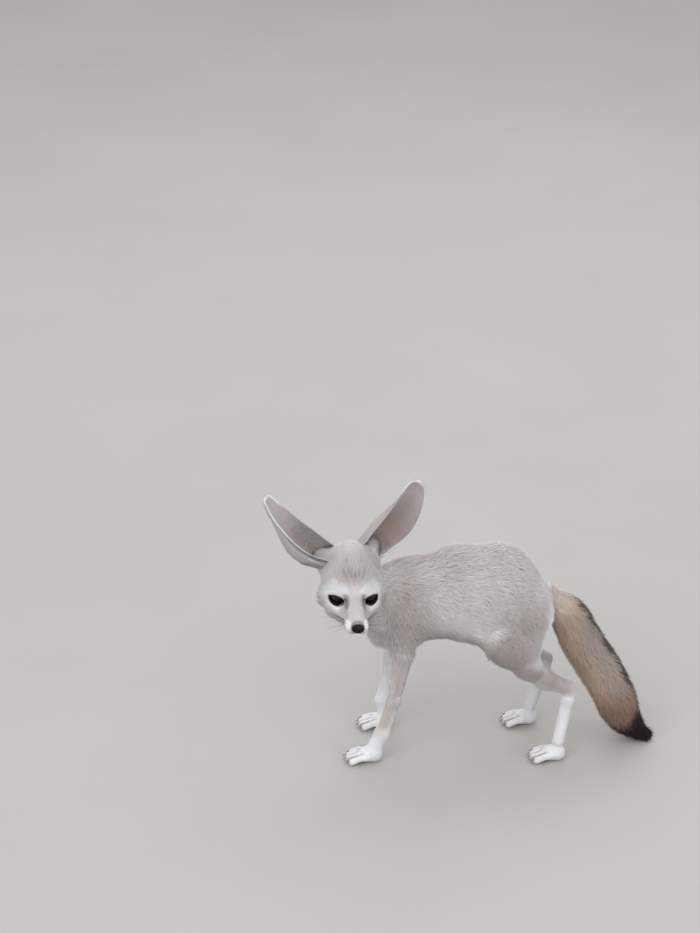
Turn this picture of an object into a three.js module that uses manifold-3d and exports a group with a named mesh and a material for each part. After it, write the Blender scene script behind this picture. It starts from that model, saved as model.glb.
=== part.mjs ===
// A fennec fox at life size, standing with its head turned to its left and its tail hanging to the floor.
// Millimetres. +Z is up, the nose end of the body points to -X and the fox's left side to -Y.
// The origin is on the floor, under the middle of the whole model.
import * as THREE from "three";
import { mergeVertices } from "three/addons/utils/BufferGeometryUtils.js";
import Module from "manifold-3d";

const wasm = await Module();
wasm.setup();

const GAP = 0.3; // left between neighbouring pieces
const LARGE = 500; // longer than any piece, for the blocks that cut

// Cell sizes of the surfaces: finer where the form is smaller.
const CELL = { torso: 9.6, neck: 8.6, head: 4.9, leg: 5.7, paw: 4 };

const COLOURS = {
  buff: "#c9bcab",
  pale: "#d6cec6",
  white: "#e8e6e3",
  ear: "#cfc2b5",
  tail: "#a88467",
  black: "#17140f",
};

// Places and directions

const at = (x, y, z) => new THREE.Vector3(x, y, z);
const UP = at(0, 0, 1);
const ACROSS = at(0, 1, 0);
const radians = THREE.MathUtils.degToRad;
const LEFT = 1;
const RIGHT = -1;

// Flesh: tapered capsules that melt together

// One form of the outline, from one place to another with a radius at each end. melt is how far it
// softens into the forms before it, and flat squeezes it along the direction side.
const form = (from, r0, to, r1, melt, flat = 1, side = ACROSS) => ({ from, r0, to, r1, melt, flat, side });

function distanceTo({ from, r0, to, r1, flat, side }, p) {
  const axis = to.clone().sub(from);
  const offset = p.clone().sub(from);
  const share = THREE.MathUtils.clamp(offset.dot(axis) / Math.max(axis.lengthSq(), 1e-6), 0, 1);
  offset.addScaledVector(axis, -share);
  offset.addScaledVector(side, offset.dot(side) * (1 / flat - 1));
  return offset.length() - THREE.MathUtils.lerp(r0, r1, share);
}

function melted(a, b, melt) {
  const near = Math.max(melt - Math.abs(a - b), 0);
  return Math.min(a, b) - (near * near) / (4 * melt);
}

// The distance to all the forms melted together: below zero inside.
const fleshOf = (forms) => (p) =>
  forms.reduce((found, one) => melted(found, distanceTo(one, p), one.melt), Infinity);

// Where the signs at the corners of a cell's side alternate, the surface would touch itself, so the
// nearer of the two corners outside is drawn in.
function untangle(values, step) {
  const nearer = (a, b) => (values[a] < values[b] ? a : b);
  let drawn = 0;
  for (let n = 0; n < values.length - step[1] - step[2]; n++)
    for (let u = 0; u < 3; u++) {
      const w = (u + 1) % 3;
      const [a, b, c, d] = [n, n + step[u], n + step[u] + step[w], n + step[w]];
      const inside = [a, b, c, d].map((m) => values[m] < 0);
      if (inside[0] !== inside[2] || inside[1] !== inside[3] || inside[0] === inside[1]) continue;
      values[inside[0] ? nearer(b, d) : nearer(a, c)] = -0.01;
      drawn++;
    }
  if (drawn) untangle(values, step);
}

// The surface where a distance is zero, as a closed mesh with one vertex in each cell that it crosses.
class FleshGeometry extends THREE.BufferGeometry {
  constructor(distance, box, cell) {
    super();
    const count = box.getSize(at(0, 0, 0)).toArray().map((length) => Math.ceil(length / cell) + 2);
    const step = [1, count[0], count[0] * count[1]];
    const start = box.min.clone().subScalar(cell / 2).toArray();
    const place = (i, j, k) => at(start[0] + i * cell, start[1] + j * cell, start[2] + k * cell);
    const values = new Float32Array(count[0] * count[1] * count[2]);
    for (let k = 0, n = 0; k < count[2]; k++)
      for (let j = 0; j < count[1]; j++)
        for (let i = 0; i < count[0]; i++, n++) {
          const onEdge = [i, j, k].some((c, axis) => c === 0 || c === count[axis] - 1);
          values[n] = onEdge ? Math.max(cell, distance(place(i, j, k))) : distance(place(i, j, k));
        }
    untangle(values, step);
    const vertexOf = new Int32Array(values.length).fill(-1);
    const positions = [];
    const corners = [];
    for (let c = 0; c < 8; c++) corners.push([c & 1, (c >> 1) & 1, (c >> 2) & 1]);
    const cornerStep = corners.map((c) => c[0] * step[0] + c[1] * step[1] + c[2] * step[2]);
    for (let k = 0; k < count[2] - 1; k++)
      for (let j = 0; j < count[1] - 1; j++)
        for (let i = 0; i < count[0] - 1; i++) {
          const n = i * step[0] + j * step[1] + k * step[2];
          const middle = at(0, 0, 0);
          let crossings = 0;
          for (let a = 0; a < 8; a++)
            for (let axis = 0; axis < 3; axis++) {
              const b = a | (1 << axis);
              if (b === a) continue;
              const [va, vb] = [values[n + cornerStep[a]], values[n + cornerStep[b]]];
              if (va < 0 === vb < 0) continue;
              const share = va / (va - vb);
              middle.add(at(...corners[a]).lerp(at(...corners[b]), share));
              crossings++;
            }
          if (!crossings) continue;
          vertexOf[n] = positions.length / 3;
          middle.divideScalar(crossings).multiplyScalar(cell).add(place(i, j, k));
          positions.push(...middle.toArray());
        }
    const faces = [];
    for (let axis = 0; axis < 3; axis++) {
      const [u, w] = [(axis + 1) % 3, (axis + 2) % 3];
      for (let k = 0; k < count[2]; k++)
        for (let j = 0; j < count[1]; j++)
          for (let i = 0; i < count[0]; i++) {
            const c = [i, j, k];
            if (c[axis] >= count[axis] - 1 || c[u] < 1 || c[w] < 1) continue;
            const n = i * step[0] + j * step[1] + k * step[2];
            const inside = values[n] < 0;
            if (inside === values[n + step[axis]] < 0) continue;
            const ring = [n - step[u] - step[w], n - step[w], n, n - step[u]].map((m) => vertexOf[m]);
            if (!inside) ring.reverse();
            const corner = ring.map((m) => at(...positions.slice(3 * m, 3 * m + 3)));
            const [a, b, d, e] = ring;
            if (corner[0].distanceTo(corner[2]) <= corner[1].distanceTo(corner[3]))
              faces.push(a, b, d, a, d, e);
            else faces.push(b, d, e, b, e, a);
          }
    }
    this.setAttribute("position", new THREE.Float32BufferAttribute(positions, 3));
    this.setIndex(faces);
  }
}

// Solids

function solidOf(geometry) {
  const bare = new THREE.BufferGeometry().copy(geometry);
  bare.deleteAttribute("normal");
  bare.deleteAttribute("uv");
  const { attributes, index } = mergeVertices(bare, 1e-4);
  const mesh = new wasm.Mesh({
    numProp: 3,
    vertProperties: attributes.position.array,
    triVerts: new Uint32Array(index.array),
  });
  return new wasm.Manifold(mesh);
}

function geometryOf(solid) {
  const { vertProperties, triVerts } = solid.getMesh();
  return new THREE.BufferGeometry()
    .setAttribute("position", new THREE.BufferAttribute(vertProperties, 3))
    .setIndex(new THREE.BufferAttribute(triVerts, 1));
}

const largest = (solid) => solid.decompose().sort((a, b) => b.volume() - a.volume())[0];

const joined = (solids) => solids.reduce((whole, one) => whole.add(one));

// A geometry turned so that its +Z points along a direction, and moved to a place.
function set(geometry, place, direction) {
  const turn = new THREE.Quaternion().setFromUnitVectors(UP, direction.clone().normalize());
  return geometry.applyQuaternion(turn).translate(place.x, place.y, place.z);
}

// All that lies ahead of a plane, less half of the gap.
const ahead = (place, direction) =>
  solidOf(set(new THREE.BoxGeometry(LARGE, LARGE, LARGE).translate(0, 0, (LARGE + GAP) / 2), place, direction));

const behind = (place, direction) => ahead(place, direction.clone().negate());

function cut(solid, cuts) {
  return largest(cuts.reduce((left, block) => left.intersect(block), solid));
}

// All that belongs to a leg, grown by half of the gap or shrunk by it.
function legBlock(side, end, grow) {
  const { x, y, z, tilt } = LEG_SEAMS[end];
  const block = new THREE.BoxGeometry(x[1] - x[0] + 2 * grow, LARGE, LARGE);
  block.translate(0, 0, LARGE / 2 - grow);
  const down = at(0, -side * Math.sin(radians(tilt)), -Math.cos(radians(tilt)));
  return solidOf(set(block, at((x[0] + x[1]) / 2, -side * y, z), down));
}

const boxOf = (x0, x1, y0, y1, z0, z1) => new THREE.Box3(at(x0, y0, z0), at(x1, y1, z1));

// Trunk

const BACK_LOW = at(-44, 0, 157);
const RIBS = at(-6, 0, 164);
const LOIN = at(28, 0, 167);
const RUMP = at(63, 0, 151);
const BREAST = at(-63, 0, 140);
const BRISKET = at(-79, 0, 123);
const NECK_ROOT = at(-58, 0, 162);
const NAPE = at(-98, -8, 173);
const TAIL_ROOT = at(86, 0, 155);

const trunk = [
  form(BACK_LOW, 41, RIBS, 45, 10, 0.83),
  form(RIBS, 45, LOIN, 43, 10, 0.83),
  form(LOIN, 43, RUMP, 31, 12, 0.9),
  form(BREAST, 31, BACK_LOW, 38, 14, 0.88),
  form(BREAST, 27, BRISKET, 15, 12, 0.9),
  form(at(76, 0, 151), 17, TAIL_ROOT, 12, 12),
];
const neck = [form(NECK_ROOT, 32, NAPE, 24, 14)];

// Head, in its own frame: forward to the nose, to its left, and up, from the middle between the eyes

const HEAD_PLACE = at(-107.6, -48, 185);
const HEAD_YAW = 4.5;
const HEAD_PITCH = 2;
const HEAD_ROLL = -2;
const FACING = at(
  Math.sin(radians(HEAD_YAW)) * Math.cos(radians(HEAD_PITCH)),
  -Math.cos(radians(HEAD_YAW)) * Math.cos(radians(HEAD_PITCH)),
  Math.sin(radians(HEAD_PITCH)),
);
const HEAD_LEFT = UP.clone().cross(FACING).normalize().applyAxisAngle(FACING, radians(HEAD_ROLL));
const HEAD_UP = FACING.clone().cross(HEAD_LEFT);
const towards = (forward, left, up) =>
  at(0, 0, 0).addScaledVector(FACING, forward).addScaledVector(HEAD_LEFT, left).addScaledVector(HEAD_UP, up);
const inHead = (forward, left, up) => towards(forward, left, up).add(HEAD_PLACE);

const EYE_RADIUS = 8.2;
const EYE_SPREAD = 12.9; // from the middle of the face to an eye's centre
const EYE_TURN = 26; // degrees outwards
const LID_THICKNESS = 1.5;
const EYE_OPENING = { width: 15, height: 8.2, slant: 20 };
const NOSE = { forward: 40.6, up: -11.5, radius: 5.8 };
const MUZZLE_END = 38.4;
const LIPS = { forward: 16, up: -18, reach: 122, rise: 0.16, width: 1.7 };
const EAR_BASE = { forward: -33, left: 19.7, up: 30.7 };
const EAR_MOUND = { back: 7, radius: 14.5 }; // the flesh that an ear grows from
const EAR_ROOM = { below: 16.4, above: 22, height: 40 }; // kept clear of the head round an ear

const eyeCentre = (side) => inHead(-4, side * EYE_SPREAD, 0);
const gaze = (side) => towards(Math.cos(radians(EYE_TURN)), side * Math.sin(radians(EYE_TURN)), 0.05).normalize();

// The ears splay apart, the right one more. turn rolls the cup's mouth towards the midline.
const EARS = {
  left: { side: LEFT, axis: [0.26, 0.41, 0.87], turn: 0 },
  right: { side: RIGHT, axis: [0.22, 0.68, 0.7], turn: 63 },
};

// The directions of an ear: along it, out of its mouth, and outwards across it.
function earFrame({ side, axis, turn }) {
  const along = towards(axis[0], side * axis[1], axis[2]).normalize();
  const mouth = FACING.clone().addScaledVector(along, -FACING.dot(along)).normalize();
  mouth.applyAxisAngle(along, radians(-side * turn));
  const outwards = along.clone().cross(mouth).multiplyScalar(side);
  return { base: inHead(EAR_BASE.forward, side * EAR_BASE.left, EAR_BASE.up), along, mouth, outwards };
}

const bothSides = (make) => [LEFT, RIGHT].flatMap(make);
const headForm = (from, r0, to, r1, melt) => form(inHead(...from), r0, inHead(...to), r1, melt);
const head = [
  headForm([-30, 0, 13], 31, [-16, 0, 10], 27, 8),
  headForm([-6, 0, -2], 17, [14, 0, -7], 12, 8),
  headForm([14, 0, -7], 12, [37, 0, -12], 7.2, 5),
  headForm([-14, 0, -18], 12.5, [28, 0, -20.5], 5.2, 6),
  ...bothSides((side) => [
    headForm([-20, side * 15, -7], 19, [-8, side * 13, -9], 14, 8),
    headForm([-5, side * 14, -12], 12.5, [27, side * 4.5, -14.5], 8.3, 8),
    headForm([-5, side * 11, 8], 8.5, [-13, side * 17, 9], 10, 6),
    headForm([24, side * 4.6, -14.5], 7.2, [33, side * 4, -15.5], 6.4, 4),
  ]),
];
const earMounds = Object.values(EARS).map((ear) => {
  const { base, along, mouth } = earFrame(ear);
  const top = base.clone().addScaledVector(mouth, -EAR_MOUND.back);
  const root = inHead(EAR_BASE.forward, ear.side * EAR_BASE.left * 0.7, EAR_BASE.up / 2);
  return form(root, EAR_MOUND.radius + 2, top.addScaledVector(along, 4), EAR_MOUND.radius, 8);
});

// Legs: each joint is given as on the left side, with step moving the foot forwards or back

const TOES = [-1.5, -0.5, 0.5, 1.5];
const SOLE_CUT = 21; // height where a paw is parted from its leg

function pawForms(heel, reach) {
  const { x, y, z } = heel;
  const pads = [form(at(x, y, z), 9, at(x - 8, y, z - 1), 8, 4)];
  const toes = TOES.map((toe) => {
    const knuckle = at(x - 7, y + toe * 4.5, 7.2);
    const tip = at(x - reach + Math.abs(toe) * 3, y + toe * 6, 4);
    return form(knuckle, 5, tip, 4.6, 2);
  });
  return [...pads, ...toes];
}

function clawsOf({ x, y }, reach) {
  return TOES.map((toe) => {
    const tip = at(x - reach - 3.2 + Math.abs(toe) * 3, y + toe * 6, 4.6);
    const claw = new THREE.ConeGeometry(1.3, 6.5, 6).rotateX(Math.PI / 2);
    return solidOf(set(claw, tip.add(at(-1.6, 0, 0)), at(-1, 0, -0.35)));
  });
}

function foreleg(side, elbow, carpus, foot) {
  const on = (x, y, z) => at(x, -side * y, z);
  return {
    shoulder: [form(on(-60, 18, 152), 25, on(elbow - 4, 26, 119), 14.5, 14)],
    leg: [
      form(on(elbow - 2, 28, 109), 11.5, on((elbow + carpus) / 2 - 1, 31, 64), 7.6, 8),
      form(on((elbow + carpus) / 2 - 1, 31, 64), 7.6, on(carpus, 32, 30), 7.6, 4),
      form(on(carpus, 32, 30), 7.6, on(foot, 32, 13), 8, 4),
    ],
    heel: on(foot, 32, 8),
    reach: 25,
  };
}

function hindleg(side, knee, hock, foot) {
  const on = (x, y, z) => at(x, -side * y, z);
  const shin = (knee + hock) / 2 + 7;
  return {
    shoulder: [
      form(on(60, 18, 146), 27, on(knee + 16, 27, 122), 20, 14),
      form(on(knee + 16, 27, 122), 20, on(knee, 31, 119), 15, 10),
    ],
    leg: [
      form(on(knee, 31, 119), 15, on(knee + 20, 32, 101), 13.5, 10),
      form(on(knee + 20, 32, 101), 13.5, on(shin, 31, 87), 9.5, 6),
      form(on(shin, 31, 87), 9.5, on(hock, 29, 76), 7, 5),
      form(on(hock + 2, 29, 77), 6.5, on(hock - 1, 29, 62), 7, 4),
      form(on(hock - 1, 29, 62), 7, on(foot + 1, 34, 20), 6.7, 4),
    ],
    heel: on(foot, 34, 8),
    reach: 24,
  };
}

const LEGS = {
  foreleg_left: foreleg(LEFT, -57, -80, -88),
  foreleg_right: foreleg(RIGHT, -63, -77, -74),
  hindleg_left: hindleg(LEFT, 36, 97, 87),
  hindleg_right: hindleg(RIGHT, 30, 80, 66),
};
const legTops = Object.values(LEGS).flatMap(({ shoulder }) => shoulder);

// Tail: a curve with the brush's radius along it

const TAIL_LINE = new THREE.CatmullRomCurve3([
  at(78, 0, 164),
  at(100, 0, 136),
  at(114, 0, 110),
  at(128, 0, 84),
  at(141, 0, 58),
  at(152, 0, 33),
  at(163, 0, 16),
  at(177, 0, 3.2),
]);
const TAIL_RADIUS = [12, 19, 21.5, 22, 22.5, 21, 12, 2];

function tailRadius(share) {
  const spot = share * (TAIL_RADIUS.length - 1);
  const low = Math.min(Math.floor(spot), TAIL_RADIUS.length - 2);
  return THREE.MathUtils.lerp(TAIL_RADIUS[low], TAIL_RADIUS[low + 1], spot - low);
}

// A closed tube along the tail, from share start to its tip.
class BrushGeometry extends THREE.BufferGeometry {
  constructor(radiusAt, rings, sides) {
    super();
    const positions = [];
    const faces = [];
    const point = (place) => positions.push(...place.toArray()) / 3 - 1;
    for (let ring = 0; ring <= rings; ring++) {
      const share = ring / rings;
      const middle = TAIL_LINE.getPoint(share);
      const along = TAIL_LINE.getTangent(share);
      const outwards = ACROSS.clone().cross(along).normalize();
      for (let s = 0; s < sides; s++) {
        const angle = (s / sides) * 2 * Math.PI;
        const place = middle.clone().addScaledVector(outwards, radiusAt(share) * Math.cos(angle));
        point(place.addScaledVector(ACROSS, radiusAt(share) * Math.sin(angle)));
      }
    }
    const first = point(TAIL_LINE.getPoint(0));
    const last = point(TAIL_LINE.getPoint(1));
    for (let s = 0; s < sides; s++) {
      const next = (s + 1) % sides;
      faces.push(first, next, s);
      faces.push(last, rings * sides + s, rings * sides + next);
      for (let ring = 0; ring < rings; ring++) {
        const [a, b] = [ring * sides + s, ring * sides + next];
        faces.push(a, b, b + sides, a, b + sides, a + sides);
      }
    }
    this.setAttribute("position", new THREE.Float32BufferAttribute(positions, 3));
    this.setIndex(faces);
  }
}

// Locks: flat, tapered tufts that bend along the lie of the coat

// The same run of numbers from 0 to 1 each time.
function seeded(seed) {
  let state = seed;
  return () => {
    state = (state * 1664525 + 1013904223) % 2 ** 32;
    return state / 2 ** 32;
  };
}
const draw = seeded(7);
const vary = (amount) => amount * (2 * draw() - 1);

const LOCK_ROWS = [0, 0.3, 0.62, 0.86]; // shares of a lock's length, before its tip

// A blade whose section is a low triangle, flat underneath. pathAt gives a place on it, and the
// direction out of the coat there, by its share from root to tip.
class LockGeometry extends THREE.BufferGeometry {
  constructor(pathAt, width, thickness) {
    super();
    const corners = LOCK_ROWS.flatMap((share) => {
      const { place, out } = pathAt(share);
      const along = pathAt(share + 0.05).place.sub(place);
      const across = out.clone().cross(along).normalize();
      const half = (width / 2) * Math.sqrt(1 - share ** 2) * (0.65 + share);
      const edge = (way) => place.clone().addScaledVector(across, way * Math.min(half, width / 2));
      return [edge(-1), edge(1), place.clone().addScaledVector(out, thickness * Math.sqrt(1 - share))];
    });
    corners.push(pathAt(1).place);
    const faces = [0, 2, 1];
    for (let row = 0; row < LOCK_ROWS.length; row++)
      for (let c = 0; c < 3; c++) {
        const [a, b] = [3 * row + c, 3 * row + ((c + 1) % 3)];
        if (row === LOCK_ROWS.length - 1) faces.push(a, b, corners.length - 1);
        else faces.push(a, b, b + 3, a, b + 3, a + 3);
      }
    this.setAttribute("position", new THREE.Float32BufferAttribute(corners.flatMap((c) => c.toArray()), 3));
    this.setIndex(faces);
  }
}

// The brush: locks in rings round a core, each over the roots of the next ring. The core is flesh
// at the root of the tail, and thins to less than half of the brush.
const CORE = { root: 0.9, share: 0.46, thinBy: 0.3 };
const BRUSH = { sunk: 0.28, rings: 9, round: 7, first: 0, last: 0.8, reach: 0.27, width: 14.5, thickness: 2.4 };
const FLOOR_CLEARANCE = 0.6;

function brushLock(ring, number) {
  const turn = ((number + (ring % 2) / 2) / BRUSH.round) * 2 * Math.PI + vary(0.16);
  const start = THREE.MathUtils.lerp(BRUSH.first, BRUSH.last, ring / (BRUSH.rings - 1)) + vary(0.012);
  const reach = Math.min(BRUSH.reach * (1 + vary(0.15)), 1 - start);
  const lift = 1 + vary(0.06);
  const swing = vary(0.2);
  const pathAt = (share) => {
    const spot = THREE.MathUtils.clamp(start + reach * share, 0, 1);
    const middle = TAIL_LINE.getPoint(spot);
    const up = ACROSS.clone().cross(TAIL_LINE.getTangent(spot)).normalize();
    const angle = turn + swing * share ** 2;
    const out = up.multiplyScalar(Math.cos(angle)).addScaledVector(ACROSS, Math.sin(angle));
    const rise = Math.sin((Math.PI / 2) * share);
    const radius = tailRadius(spot) * THREE.MathUtils.lerp(BRUSH.sunk, lift, rise);
    const place = middle.clone().addScaledVector(out, radius);
    place.z = Math.max(place.z, FLOOR_CLEARANCE);
    return { place, out };
  };
  const size = tailRadius(THREE.MathUtils.clamp(start + reach / 2, 0, 1)) / Math.max(...TAIL_RADIUS);
  return solidOf(new LockGeometry(pathAt, BRUSH.width * size, BRUSH.thickness * size));
}

// Ears: a curved sheet, nearly a tube at its root and an open cup above

const EAR_LENGTH = 92; // from the head to the tip
const EAR_START = -0.12; // where the sheet starts in the head, as a share of the length
const EAR_BOW = 7; // how far the middle bows outwards
const EAR_SHEET = 2.4; // thickness with its fur
const EAR_ROWS = 12;
const EAR_COLUMNS = 10;
// Half of the width of the mouth, and the depth of the cup behind it, by height.
const EAR_SECTIONS = [
  { height: EAR_START, mouth: 9, depth: 19 },
  { height: 0, mouth: 10.5, depth: 20 },
  { height: 0.25, mouth: 15.2, depth: 25 },
  { height: 0.5, mouth: 15.2, depth: 18 },
  { height: 0.75, mouth: 13, depth: 8.5 },
  { height: 0.9, mouth: 10, depth: 6 },
  { height: 0.97, mouth: 6.2, depth: 3.5 },
  { height: 1, mouth: 1.8, depth: 0.8 },
];

function earSection(height) {
  const next = Math.max(1, EAR_SECTIONS.findIndex((section) => section.height >= height));
  const [low, high] = EAR_SECTIONS.slice(next - 1, next + 1);
  const share = (height - low.height) / (high.height - low.height);
  const mouth = THREE.MathUtils.lerp(low.mouth, high.mouth, share);
  const depth = THREE.MathUtils.lerp(low.depth, high.depth, share);
  return { radius: (mouth ** 2 + depth ** 2) / (2 * depth), curl: 2 * Math.atan(depth / mouth) };
}

class EarGeometry extends THREE.BufferGeometry {
  constructor(ear) {
    super();
    const { base, along, mouth, outwards } = earFrame(ear);
    const middle = (height, column) => {
      const { radius, curl } = earSection(height);
      const across = EAR_BOW * Math.sin(Math.PI * height) + ear.side * radius * Math.sin(curl * column);
      const place = base.clone().addScaledVector(along, EAR_LENGTH * height);
      place.addScaledVector(outwards, across);
      return place.addScaledVector(mouth, radius * (Math.cos(curl) - Math.cos(curl * column)));
    };
    const positions = [];
    const inner = [];
    const outer = [];
    for (let row = 0; row <= EAR_ROWS; row++)
      for (let c = 0; c <= EAR_COLUMNS; c++) {
        const share = 0.5 * (row / EAR_ROWS) + 0.5 * Math.sin((Math.PI / 2) * (row / EAR_ROWS));
        const height = THREE.MathUtils.lerp(EAR_START, 1, share);
        const column = (2 * c) / EAR_COLUMNS - 1;
        const place = middle(height, column);
        const alongSheet = middle(Math.min(height + 0.01, 1), column).sub(middle(Math.min(height, 0.99), column));
        const acrossSheet = middle(height, column + 0.01).sub(middle(height, column - 0.01));
        const normal = acrossSheet.cross(alongSheet).normalize();
        const half = (EAR_SHEET / 2) * (1 - 0.35 * Math.abs(column) ** 3);
        inner.push(positions.push(...place.clone().addScaledVector(normal, half).toArray()) / 3 - 1);
        outer.push(positions.push(...place.addScaledVector(normal, -half).toArray()) / 3 - 1);
      }
    const faces = [];
    const wide = EAR_COLUMNS + 1;
    for (let row = 0; row < EAR_ROWS; row++)
      for (let c = 0; c < EAR_COLUMNS; c++) {
        const [a, b, d, e] = [row * wide + c, row * wide + c + 1, (row + 1) * wide + c + 1, (row + 1) * wide + c];
        faces.push(inner[a], inner[b], inner[d], inner[a], inner[d], inner[e]);
        faces.push(outer[a], outer[d], outer[b], outer[a], outer[e], outer[d]);
      }
    const edge = [];
    for (let c = 0; c < EAR_COLUMNS; c++) edge.push(c);
    for (let row = 0; row < EAR_ROWS; row++) edge.push(row * wide + EAR_COLUMNS);
    for (let c = EAR_COLUMNS; c > 0; c--) edge.push(EAR_ROWS * wide + c);
    for (let row = EAR_ROWS; row > 0; row--) edge.push(row * wide);
    edge.forEach((a, n) => {
      const b = edge[(n + 1) % edge.length];
      faces.push(inner[a], outer[a], outer[b], inner[a], outer[b], inner[b]);
    });
    this.setAttribute("position", new THREE.Float32BufferAttribute(positions, 3));
    this.setIndex(faces);
  }
}

// Where the pieces part

const NECK_SEAM = [at(-68, 0, 156), at(-0.86, -0.1, 0.5)];
const HEAD_SEAM = [at(-85, -5, 181), at(-0.75, -0.45, 0.5)];
const TAIL_SEAM = [at(88, 0, 155), at(0.55, 0, -0.83)];
// A leg's block starts under a tilted plane and reaches from one X to another.
const LEG_SEAMS = {
  fore: { x: [-115, -30], y: 12, z: 114, tilt: 30 },
  hind: { x: [20, 110], y: 8, z: 121, tilt: 37 },
};
const wristSeam = [at(0, 0, SOLE_CUT), at(0, 0, -1)];
const BODY_BOX = boxOf(-125, 105, -60, 60, 95, 230);

// Pieces

function makeTorso() {
  const forms = [...trunk, ...neck, ...legTops, ...Object.values(LEGS).flatMap(({ leg }) => leg.slice(0, 1))];
  let solid = solidOf(new FleshGeometry(fleshOf(forms), BODY_BOX, CELL.torso));
  for (const side of [LEFT, RIGHT])
    for (const end of Object.keys(LEG_SEAMS)) solid = solid.subtract(legBlock(side, end, GAP / 2));
  return cut(solid, [behind(...NECK_SEAM), behind(...TAIL_SEAM)]);
}

function makeNeck() {
  const whole = solidOf(new FleshGeometry(fleshOf([...trunk, ...neck, ...head]), BODY_BOX, CELL.neck));
  return cut(whole, [ahead(...NECK_SEAM), behind(...HEAD_SEAM)]);
}

function makeLeg(side, end, { shoulder, leg }) {
  const box = new THREE.Box3().setFromPoints([...shoulder, ...leg].flatMap(({ from, to }) => [from, to]));
  box.expandByScalar(32);
  const whole = solidOf(new FleshGeometry(fleshOf([...trunk, ...shoulder, ...leg]), box, CELL.leg));
  return cut(whole, [legBlock(side, end, -GAP / 2), behind(...wristSeam)]);
}

function makePaw({ leg, heel, reach }) {
  const forms = [...leg.slice(-1), ...pawForms(heel, reach)];
  const box = new THREE.Box3().setFromCenterAndSize(heel, at(90, 60, 70));
  const flesh = solidOf(new FleshGeometry(fleshOf(forms), box, CELL.paw));
  return cut(joined([flesh, ...clawsOf(heel, reach)]), [ahead(...wristSeam), ahead(at(0, 0, -GAP / 2), UP)]);
}

function makeHead() {
  const box = new THREE.Box3().setFromCenterAndSize(inHead(0, 0, 0), at(150, 170, 150));
  const flesh = fleshOf([...head, ...earMounds, ...neck]);
  let solid = solidOf(new FleshGeometry(flesh, box, CELL.head));
  solid = solid.subtract(lipGroove(flesh));
  for (const side of [LEFT, RIGHT]) solid = withEyeSocket(solid, side);
  for (const ear of Object.values(EARS)) {
    const { base, along, mouth } = earFrame(ear);
    const room = new THREE.CylinderGeometry(EAR_ROOM.above, EAR_ROOM.below, EAR_ROOM.height, 16);
    room.rotateX(Math.PI / 2).translate(0, 0, (EAR_ROOM.height - GAP) / 2);
    solid = solid.subtract(solidOf(set(room, base.addScaledVector(mouth, -EAR_MOUND.back), along)));
  }
  return cut(solid, [ahead(...HEAD_SEAM), ahead(...NECK_SEAM), behind(inHead(MUZZLE_END, 0, 0), FACING)]);
}

// A thin tube along the lips, on the surface all round the muzzle.
function lipGroove(flesh) {
  const line = [];
  for (let angle = -LIPS.reach; angle <= LIPS.reach; angle += LIPS.reach / 9) {
    const ray = towards(Math.cos(radians(angle)), Math.sin(radians(angle)), LIPS.rise * (angle / LIPS.reach) ** 2);
    line.push(surfaceAlong(flesh, inHead(LIPS.forward, 0, LIPS.up), ray));
  }
  const section = new THREE.Shape().absarc(0, 0, LIPS.width / 2, 0, 2 * Math.PI);
  const extrudePath = new THREE.CatmullRomCurve3(line);
  return solidOf(new THREE.ExtrudeGeometry(section, { steps: 18, extrudePath, curveSegments: 2 }));
}

// Where a ray from inside the flesh comes out.
function surfaceAlong(flesh, from, ray) {
  let [near, far] = [0, 60];
  while (far - near > 0.01) {
    const reach = (near + far) / 2;
    if (flesh(from.clone().addScaledVector(ray, reach)) < 0) near = reach;
    else far = reach;
  }
  return from.clone().addScaledVector(ray, near);
}

// The lids are a thin ball over the eye with an almond opening.
function withEyeSocket(solid, side) {
  const { width, height, slant } = EYE_OPENING;
  const almond = new THREE.Shape();
  almond.moveTo(-width / 2, 0);
  almond.quadraticCurveTo(0, height * 1.05, width / 2, 0);
  almond.quadraticCurveTo(0, -height * 0.95, -width / 2, 0);
  const opening = new THREE.ExtrudeGeometry(almond, { depth: 20, bevelEnabled: false, curveSegments: 4 });
  const look = gaze(side);
  const inwards = HEAD_LEFT.clone().multiplyScalar(side).cross(look).cross(look).normalize();
  const outwards = inwards.negate().applyAxisAngle(look, radians(side * slant));
  const frame = new THREE.Matrix4().makeBasis(outwards, look.clone().cross(outwards), look);
  opening.applyMatrix4(frame.setPosition(eyeCentre(side)));
  const ball = (radius) => {
    const { x, y, z } = eyeCentre(side);
    return solidOf(new THREE.SphereGeometry(radius, 14, 8).translate(x, y, z));
  };
  return solid.add(ball(EYE_RADIUS + LID_THICKNESS)).subtract(solidOf(opening)).subtract(ball(EYE_RADIUS + GAP));
}

function makeEye(side) {
  const { x, y, z } = eyeCentre(side);
  return solidOf(new THREE.SphereGeometry(EYE_RADIUS - 0.1, 14, 8).translate(x, y, z));
}

function makeNose() {
  const { forward, up, radius } = NOSE;
  const pad = new THREE.SphereGeometry(radius, 12, 8).scale(0.95, 1, 0.8);
  const nostril = (side) => {
    const hole = new THREE.SphereGeometry(1.5, 6, 5).scale(1, 1, 1.3);
    return solidOf(set(hole, inHead(forward + 4.6, side * 2.7, up - 0.6), towards(1, side * 0.9, 0)));
  };
  const place = inHead(forward, 0, up);
  const solid = solidOf(pad.rotateZ(radians(90)).translate(place.x, place.y, place.z));
  return cut(solid.subtract(nostril(LEFT)).subtract(nostril(RIGHT)), [ahead(inHead(MUZZLE_END, 0, 0), FACING)]);
}

function makeEar(ear) {
  const { base, along, mouth } = earFrame(ear);
  const plug = new THREE.CylinderGeometry(4, 11, 26, 12).rotateX(Math.PI / 2);
  const sheet = solidOf(new EarGeometry(ear));
  const foot = base.clone().addScaledVector(mouth, -EAR_MOUND.back);
  return cut(sheet.add(solidOf(set(plug, foot, along))), [ahead(base, along)]);
}

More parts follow.
